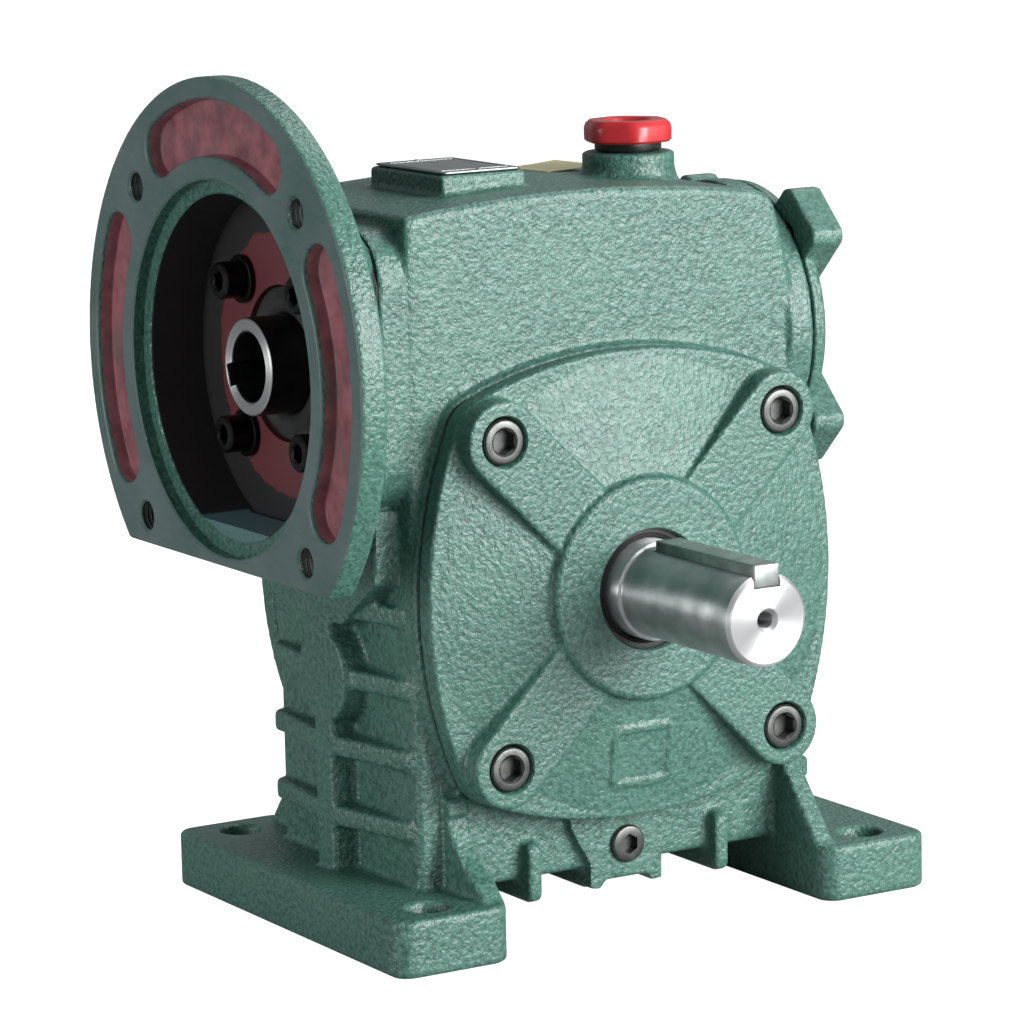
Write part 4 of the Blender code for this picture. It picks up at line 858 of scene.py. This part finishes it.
def build_motor_flange():
    cut_deg = math.degrees(math.asin(FLANGE_CUT / FLANGE_R))
    outline = [(y, z + INPUT_Z) for y, z in arc((0, 0), FLANGE_R, -cut_deg, 180 + cut_deg, 120)]
    disc = bevelled(prism(outline, "X", FLANGE_FACE, FLANGE_BACK), 0.9, 2)
    rings = [neck_ring(FLANGE_SEAT, 0), neck_ring(-99, 0.2), neck_ring(-106, 0.62), neck_ring(-113, 0.9)]
    united(disc, loft(rings + [neck_ring(-120, 1.0)]))
    cast = as_cast(disc, 0.85, 2)
    bell = cut(
        rod(BELL_R, *WORM_LINE, FLANGE_FACE - 5, BELL_FLOOR, 160),
        box((-140, -90, 100), (-104.6, 90, INPUT_Z - BELL_FLAT)),
    )
    register_floor = FLANGE_FACE + REGISTER_DEPTH
    register = [
        (0, -134), (REGISTER_R + 0.7, -134), (REGISTER_R + 0.7, FLANGE_FACE - 0.05),
        (REGISTER_R, FLANGE_FACE + 0.6), (REGISTER_R, register_floor), (BELL_R + 0.6, register_floor),
        (BELL_R - 0.4, register_floor + 1.0), (0, -122),
    ]
    tap_mouth = FLANGE_TAP_R + 0.9
    tap = [(0, -134), (tap_mouth, -134), (tap_mouth, FLANGE_FACE), (FLANGE_TAP_R, FLANGE_FACE + 0.9)]
    for i in range(9):
        crest = FLANGE_FACE + 1.2 + 1.6 * i
        tap += [(FLANGE_TAP_R, crest), (FLANGE_TAP_R + 0.55, crest + 0.8)]
    tap += [(FLANGE_TAP_R, -112.5), (0, -112.5)]
    tap_places = [(y, z + INPUT_Z) for y, z in square_corners(FLANGE_BOLT_R / math.sqrt(2))]
    cut(
        cast,
        bell,
        *[flange_pocket(*span) for span in POCKETS_DEG],
        turned(register, *WORM_LINE, 160),
        rod(INPUT_SEAL_SEAT_R, *WORM_LINE, -110, -95.1, 96),
        rod(23, *WORM_LINE, -110, -80, 64),
        *screw_bores(FLANGE_PLACES, "X", BELL_FLOOR - 5, -80, M8_HOLE_R),
        *[turned(tap, "X", place, 40) for place in tap_places],
    )
    finished(cast, "motor_flange_casting", "motor_flange", FLANGE_GREEN, 40)


def build_rear_cap():
    profile = [
        (0, CAP_DOME), (14, CAP_DOME), (20, CAP_LUG + 1.5), (26, CAP_DISC + 2), (32, CAP_DISC),
        (48.5, CAP_DISC - 0.5), (50, CAP_DISC - 2), (50.4, CAP_SEAT), (0, CAP_SEAT),
    ]
    cap = turned(profile, *WORM_LINE, 128)
    cast = as_cast(united(cap, *corner_lugs(CAP_SEAT, CAP_LUG)), 0.8, 2)
    spigot = [(25, 86), (31, 86), (31, 79.8), (27, 79.8)]
    united(cast, turned([(r, a) for r, a in spigot], *WORM_LINE, 64))
    cut(
        cast,
        rod(26, *WORM_LINE, 70, 96, 64),
        *screw_bores(CAP_PLACES, "X", CAP_LUG - 6, CAP_LUG + 14, M8_HEAD_BORE_R, 40),
        *screw_bores(CAP_PLACES, "X", 70, 110, M8_HOLE_R),
    )
    finished(cast, "rear_cap_casting", "rear_cap", GREEN, 50)


# ---- shafts ----

def thread_section(angle_deg, fade):
    angle = math.radians(angle_deg)
    middle = LEAD * (angle_deg + 90) / 360
    tip = WORM_ROOT_R - 1 + (WORM_TIP_R - WORM_ROOT_R + 1) * fade
    corners = []
    for radius, side in ((WORM_ROOT_R - 1, -1), (tip, -1), (tip, 1), (WORM_ROOT_R - 1, 1)):
        half = LEAD / 4 - FLANK_CLEARANCE - (radius - WORM_PITCH_R) * PRESSURE_TAN
        corners.append((middle + side * half, radius * math.cos(angle), INPUT_Z + radius * math.sin(angle)))
    return corners


def build_worm_shaft():
    root, chamfer = WORM_ROOT_R, 0.7
    profile = [
        (0, WORM_REAR), (16, WORM_REAR), (WORM_SEAT_R, WORM_REAR - 1.5), (WORM_SEAT_R, 61.5), (21, 61.5),
        (21, 52), (root, 42), (root, -48), (22, -60), (22, -72.5), (WORM_SEAT_R, -72.5), (WORM_SEAT_R, -91),
        (WORM_SHAFT_R, -92.5), (WORM_SHAFT_R, WORM_MOUTH + chamfer), (WORM_SHAFT_R - chamfer, WORM_MOUTH),
        (0, WORM_MOUTH),
    ]
    shaft = turned(profile, *WORM_LINE, 96)
    steps = 48
    count = round(2 * THREAD_HALF_LENGTH / LEAD * steps)
    sections = []
    for i in range(count + 1):
        fade = min(1.0, min(i, count - i) / 15)
        sections.append(thread_section(-90 + 360 * (i - count / 2) / steps, 0.05 + 0.95 * fade))
    united(shaft, loft(sections))
    width, reach, tilt_deg = MOTOR_KEYWAY
    cos, sin = polar((0, 0), 1, tilt_deg)
    half = width / 2
    corners = ((0, -half), (reach, -half), (reach, half), (0, half))
    keyway = [(u * cos - v * sin, INPUT_Z + u * sin + v * cos) for u, v in corners]
    mouth = [
        (0, -125), (WORM_BORE_R + 1.0, -125), (WORM_BORE_R + 1.0, WORM_MOUTH - 0.01),
        (WORM_BORE_R, WORM_MOUTH + 0.9), (WORM_BORE_R, WORM_BORE_END), (0, WORM_BORE_END),
    ]
    cut(shaft, turned(mouth, *WORM_LINE, 96), prism(keyway, "X", -125, WORM_BORE_END - 3))
    finished(shaft, "worm_shaft_turned", "worm_shaft", WORM_STEEL, 30, "worm")


def build_output_shaft():
    seat = OUTPUT_SEAT_R
    profile = [
        (0, OUTPUT_REAR), (seat - 1, OUTPUT_REAR), (seat, OUTPUT_REAR - 1), (seat, HUB_HALF),
        (WHEEL_SEAT_R, HUB_HALF), (WHEEL_SEAT_R, -HUB_HALF), (seat, -HUB_HALF), (seat, -52),
        (OUTPUT_SEAL_R, -54), (OUTPUT_SEAL_R, OUTPUT_STEP + 1.2), (OUTPUT_SEAL_R - 0.4, OUTPUT_STEP + 0.4),
        (OUTPUT_R + 0.2, OUTPUT_STEP), (OUTPUT_R, OUTPUT_STEP - 0.3),
        (OUTPUT_R, OUTPUT_TIP + 1.4), (OUTPUT_R - 1.4, OUTPUT_TIP),
        (4.3, OUTPUT_TIP), (3.0, OUTPUT_TIP + 1.5), (2.9, OUTPUT_TIP + 18), (0, OUTPUT_TIP + 20),
    ]
    shaft = turned(profile, *OUTPUT_LINE, 128)
    half, floor = KEY_HALF_WIDTH + 0.25, OUTPUT_Z + KEY_LOW - 0.3
    cut(
        shaft,
        box((-half, OUTPUT_TIP - 5, floor), (half, KEY_START + 1, 160)),
        box((-7.3, -17.3, OUTPUT_Z + 17), (7.3, 17.3, 160)),
    )
    finished(shaft, "output_shaft_turned", "output_shaft", SHAFT_STEEL, 30, "output")
    low = (-KEY_HALF_WIDTH, OUTPUT_TIP, OUTPUT_Z + KEY_LOW)
    key = box(low, (KEY_HALF_WIDTH, KEY_START, OUTPUT_Z + KEY_HIGH), bevel=0.45)
    finished(key, "output_key_bar", "output_key", KEY_STEEL, 40, "output")


def build_seals():
    shaft, out, front, back = OUTPUT_SEAL_R + 0.2, 25.0, -69.7, -60.5
    profile = [
        (out, back), (out, front + 0.6), (out - 0.6, front), (22.5, front), (21.4, front + 0.9),
        (19.4, front + 0.9), (18.2, front - 0.2), (shaft, front + 0.6), (shaft, back), (20, back),
        (20, front + 3), (22.5, front + 3), (22.5, back),
    ]
    seal = turned(profile, *OUTPUT_LINE, 96)
    finished(seal, "output_seal_ring", "output_seal", RUBBER)
    shaft, out, front, back = WORM_SHAFT_R + 0.2, 26.9, -101.5, -95.4
    profile = [
        (out, back), (out, front + 0.5), (out - 0.5, front), (24, front), (22.8, front + 0.8),
        (19.4, front + 0.8), (18, front - 0.1), (shaft, front + 0.5), (shaft, back), (19.5, back),
        (19.5, front + 2.5), (24.5, front + 2.5), (24.5, back),
    ]
    seal = turned(profile, *WORM_LINE, 96)
    finished(seal, "input_seal_ring", "input_seal", RUBBER)


# ---- fittings and screws ----

def hexagon(radius, centre):
    return arc(centre, radius, 30, 330, 5)


def socket_screw(node, size, axis, centre, sign, base, length, material):
    """A socket-head screw. base is the head's underside; sign points from the shank to the head."""
    shank_r, head_r, head, socket_r = size
    top, tip = base + sign * head, base - sign * length
    profile = [
        (0, top), (head_r - 1.5, top), (head_r - 0.6, top - sign * 0.25), (head_r, top - sign * 0.95),
        (head_r, base + sign * 0.3), (head_r - 0.3, base), (shank_r, base),
        (shank_r, tip + sign), (shank_r - 0.8, tip), (0, tip),
    ]
    screw = turned(profile, axis, centre, 48)
    depth = head * 0.55
    low, high = sorted((top + sign * 3, top - sign * depth))
    lead = [
        (0, top + sign * 0.5), (socket_r + 0.5, top + sign * 0.1), (socket_r - 0.6, top - sign * 0.9),
        (0, top - sign * 0.9),
    ]
    cut(screw, prism(hexagon(socket_r, centre), axis, low, high), turned(lead, axis, centre, 48))
    finished(screw, f"{node}_fine", node, material, 30)


# Shank radius, head radius, head height and socket radius
M10, M8 = (4.6, 7.8, 9.6, 4.7), (3.7, 6.5, 8.0, 3.5)


def build_screws():
    floor = COVER_ARM - 9.7
    for index, place in enumerate(COVER_PLACES, 1):
        for end, side in (("front", -1), ("rear", 1)):
            socket_screw(f"{end}_cover_screw_{index}", M10, "Y", place, side, side * floor, 30, SCREW_STEEL)
    seat = BELL_FLOOR - 0.3
    for index, place in enumerate(FLANGE_PLACES, 1):
        profile = [
            (8.5, seat), (8.5, seat - 1.7), (8.2, seat - 2), (4.6, seat - 2), (4.3, seat - 1.7), (4.3, seat),
        ]
        washer = turned(profile, "X", place, 48)
        node = f"flange_washer_{index}"
        finished(washer, f"{node}_fine", node, DARK_SCREW_STEEL)
        socket_screw(f"flange_screw_{index}", M8, "X", place, -1, seat - 2.3, 28, DARK_SCREW_STEEL)
    for index, place in enumerate(CAP_PLACES, 1):
        socket_screw(f"cap_screw_{index}", M8, "X", place, 1, CAP_LUG - 5.7, 26, SCREW_STEEL)


def rounded_hexagon(radius, corner, start):
    """A hexagon with round corners, the first of them at start degrees."""
    points = []
    reach = radius - corner / math.cos(math.radians(30))
    for degrees in range(start, start + 360, 60):
        points += arc(polar((0, 0), reach, degrees), corner, degrees - 30, degrees + 30, 6)
    return points


def build_breather():
    centre = (BREATHER_X, 0)
    profile = [(12, 267.3), (12, 265.2), (11.6, 264.4), (8.2, 264.4), (8.2, 250), (6, 250), (6, 267.3)]
    neck = turned(profile, "Z", centre, 64)
    finished(neck, "breather_neck_fine", "breather_neck", NECK_PLASTIC)
    rings = []
    for radius, z in ((15.1, 267.4), (16.0, 268.2), (16.1, 272.4), (15.6, 274.0), (14.2, 275.3)):
        shape = rounded_hexagon(radius * 1.07, 7.5, 12)
        limit = [min(1.0, 16.4 / math.hypot(u, v)) for u, v in shape]
        rings.append([(BREATHER_X + u * k, v * k, z) for (u, v), k in zip(shape, limit)])
    cap = loft(rings)
    recess = [(0, 272.0), (7.2, 272.0), (7.6, 272.4), (7.9, 274.6), (8.8, 275.6), (8.8, 280), (0, 280)]
    cap = cut(cap, turned(recess, "Z", centre, 64))
    stem = turned([(0, 269), (5.7, 269), (5.7, 255.5), (5.2, 255), (0, 255)], "Z", centre, 48)
    united(cap, stem)
    finished(cap, "breather_cap_fine", "breather_cap", RED, 38)


def build_plugs():
    profile = [
        (0, -54.6), (5.2, -54.6), (6.2, -54.3), (6.7, -53.6), (6.7, -51.9), (6.4, -51.7), (4.6, -51.7),
        (4.6, -30.6), (4.0, -30), (0, -30),
    ]
    plug = turned(profile, "Y", (0, DRAIN_Z), 48)
    cut(plug, prism(hexagon(3.7, (0, DRAIN_Z)), "Y", -58, -51))
    finished(plug, "drain_plug_fine", "drain_plug", SCREW_STEEL, 30)
    profile = [
        (0, 93), (9.5, 93), (10.6, 92.6), (11, 91.8), (11, 88.6), (10.7, 88.3), (8.2, 88.3), (8.2, 69),
        (7.6, 68), (0, 68),
    ]
    plug = turned(profile, "X", (0, LEVEL_Z), 64)
    cut(plug, prism(hexagon(5.2, (0, LEVEL_Z)), "X", 88.5, 95))
    finished(plug, "oil_level_plug_fine", "oil_level_plug", SCREW_STEEL, 30)


def build_nameplate():
    (x_low, y_low, _), (x_high, y_high, top) = PLATE_PAD
    base = top + 0.3
    low, high = (x_low + 1.2, y_low + 1.2), (x_high - 1.2, y_high - 1.2)
    plate = bevelled(prism(rounded_rectangle(low, high, 2.0), "Z", base, base + 0.7), 0.18, 2, 50)
    frame_low, frame_high = (low[0] + 1.6, low[1] + 5), (high[0] - 1.6, high[1] - 5)
    raised = prism(rounded_rectangle(frame_low, frame_high, 1.2), "Z", base + 0.3, base + 0.85)
    inner_low = [value + 0.9 for value in frame_low]
    inner_high = [value - 0.9 for value in frame_high]
    raised = cut(raised, prism(rounded_rectangle(inner_low, inner_high, 0.8), "Z", base, base + 2))
    rivets = []
    dome = [(0, base + 0.4), (1.3, base + 0.4), (1.2, base + 0.85), (0.8, base + 1.05), (0, base + 1.1)]
    for y in (low[1] + 2.6, high[1] - 2.6):
        rivets.append(turned(dome, "Z", ((x_low + x_high) / 2, y), 32))
    united(plate, raised, *rivets)
    finished(plate, "nameplate_fine", "nameplate", PLATE, 30)


def build_sticker():
    """A blank yellow sticker turned askew on the crown, its end by the breather lifting off."""
    width, length, thickness = 25.5, 22.5, 0.22
    centre, lift = (25.3, 30.3), 2.4
    cos, sin = polar((0, 0), 1, 12.5)
    bm = bmesh.new()
    columns, rows = 24, 16
    grid = []
    for level in (0.02, thickness):
        sheet = []
        for i in range(columns + 1):
            line = []
            for j in range(rows + 1):
                u, v = (i / columns - 0.5) * width, (j / rows - 0.5) * length
                x, y = centre[0] + u * cos - v * sin, centre[1] + u * sin + v * cos
                crown = CROWN_Z - CROWN_R + math.sqrt(CROWN_R**2 - (x - CROWN_X) ** 2)
                rise = lift * (i / columns) ** 1.6
                line.append(bm.verts.new(to_row((x, y, crown + level + rise))))
            sheet.append(line)
        grid.append(sheet)
    for sheet in grid:
        for i in range(columns):
            for j in range(rows):
                bm.faces.new((sheet[i][j], sheet[i + 1][j], sheet[i + 1][j + 1], sheet[i][j + 1]))
    edge = [(i, 0) for i in range(columns)] + [(columns, j) for j in range(rows)]
    edge += [(i, rows) for i in range(columns, 0, -1)] + [(0, j) for j in range(rows, 0, -1)]
    for (i, j), (k, m) in zip(edge, edge[1:] + edge[:1]):
        bm.faces.new((grid[0][i][j], grid[0][k][m], grid[1][k][m], grid[1][i][j]))
    sticker = add_object("sticker", bm)
    finished(sticker, "yellow_sticker", None, STICKER, 30)


def repaint_internals():
    """The hidden pieces keep the frame's own meshes, so they only take a material each."""
    looks = {
        "_gasket": PAPER, "_inner_ring": BEARING_STEEL, "_outer_ring": BEARING_STEEL,
        "_rollers": BEARING_STEEL, "_sleeve": KEY_STEEL, "wheel_key": KEY_STEEL,
        "wheel_rim": BRONZE, "wheel_hub": IRON,
    }
    for name, obj in frame["nodes"].items():
        for ending, material in looks.items():
            if name.endswith(ending):
                shaded(obj, material, 35)


# ---- stage ----

def build_stage():
    """A white floor whose glow reaches only itself, under a pale even world."""
    bm = bmesh.new()
    bmesh.ops.create_grid(bm, x_segments=1, y_segments=1, size=14.0)
    floor = add_object("floor", bm)
    floor.location = (0, 0, -0.0003)
    look = Surface("pale_floor", roughness=0.9)
    look.shader.inputs["Emission Color"].default_value = (1, 1, 1, 1)
    look.shader.inputs["Emission Strength"].default_value = 1.0
    grain = look.mix(look.noise(300.0), (0.34, 0.34, 0.34), (0.37, 0.37, 0.37))
    floor.data.materials.append(look.wired(Base_Color=grain))
    glow_reach = bpy.data.collections.new("floor_glow_reach")
    glow_reach.objects.link(floor)
    floor.light_linking.receiver_collection = glow_reach
    world = bpy.data.worlds.new("studio")
    world.use_nodes = True
    background = world.node_tree.nodes["Background"]
    background.inputs["Color"].default_value = (0.93, 0.97, 1.0, 1)
    background.inputs["Strength"].default_value = 0.3
    bpy.context.scene.world = world


# Name, place in metres, size in metres and power in watts
LIGHTS = (
    ("key_softbox", (0.95, -1.7, 0.8), (1.2, 1.2), 84),
    ("left_strip", (-2.0, 0.1, 0.35), (0.5, 0.9), 21),
    ("low_fill", (0.25, -1.9, 0.1), (0.8, 0.4), 13),
    ("top_softbox", (0.9, 0.5, 1.6), (0.9, 0.9), 9),
)


def build_lights():
    middle = to_row((0, 0, 130))
    for name, place, size, power in LIGHTS:
        light = bpy.data.lights.new(name, "AREA")
        light.shape = "RECTANGLE"
        light.size, light.size_y = size
        light.energy = power
        made = in_scene(name, light)
        made.location = place
        made.rotation_euler = (middle - Vector(place)).to_track_quat("-Z", "Y").to_euler()


# Degrees, millimetres, and millimetres in the gearbox's own coordinates
CAMERA_AZIMUTH, CAMERA_ELEVATION, CAMERA_ROLL = -31.065, 9.88, -1.221
CAMERA_DISTANCE, CAMERA_LENS = 1631.7, 160.31
CAMERA_TARGET = (-9.25, 5.57, 137.27)


def build_camera():
    level, rise = polar((0, 0), 1, CAMERA_ELEVATION)
    ahead, aside = polar((0, 0), level, CAMERA_AZIMUTH)
    back = Vector((aside, -ahead, rise))
    right = Vector((0, 0, 1)).cross(back).normalized()
    up = back.cross(right)
    cos, sin = polar((0, 0), 1, CAMERA_ROLL)
    turned_right, turned_up = right * cos + up * sin, up * cos - right * sin
    camera = bpy.data.cameras.new("camera")
    camera.lens, camera.sensor_width = CAMERA_LENS, 36.0
    camera.clip_end = 100
    made = in_scene("camera", camera)
    place = to_row(CAMERA_TARGET) + back * CAMERA_DISTANCE * MM
    facing = Matrix((turned_right, turned_up, back)).transposed().to_4x4()
    made.matrix_world = Matrix.Translation(place) @ facing
    bpy.context.scene.camera = made


build_camera()
build_housing()
build_cover("front_cover", -1, True)
build_cover("rear_cover", 1, False)
build_motor_flange()
build_rear_cap()
build_worm_shaft()
build_output_shaft()
build_seals()
build_screws()
build_breather()
build_plugs()
build_nameplate()
build_sticker()
repaint_internals()
build_stage()
build_lights()
bpy.context.scene.view_settings.view_transform = "Standard"
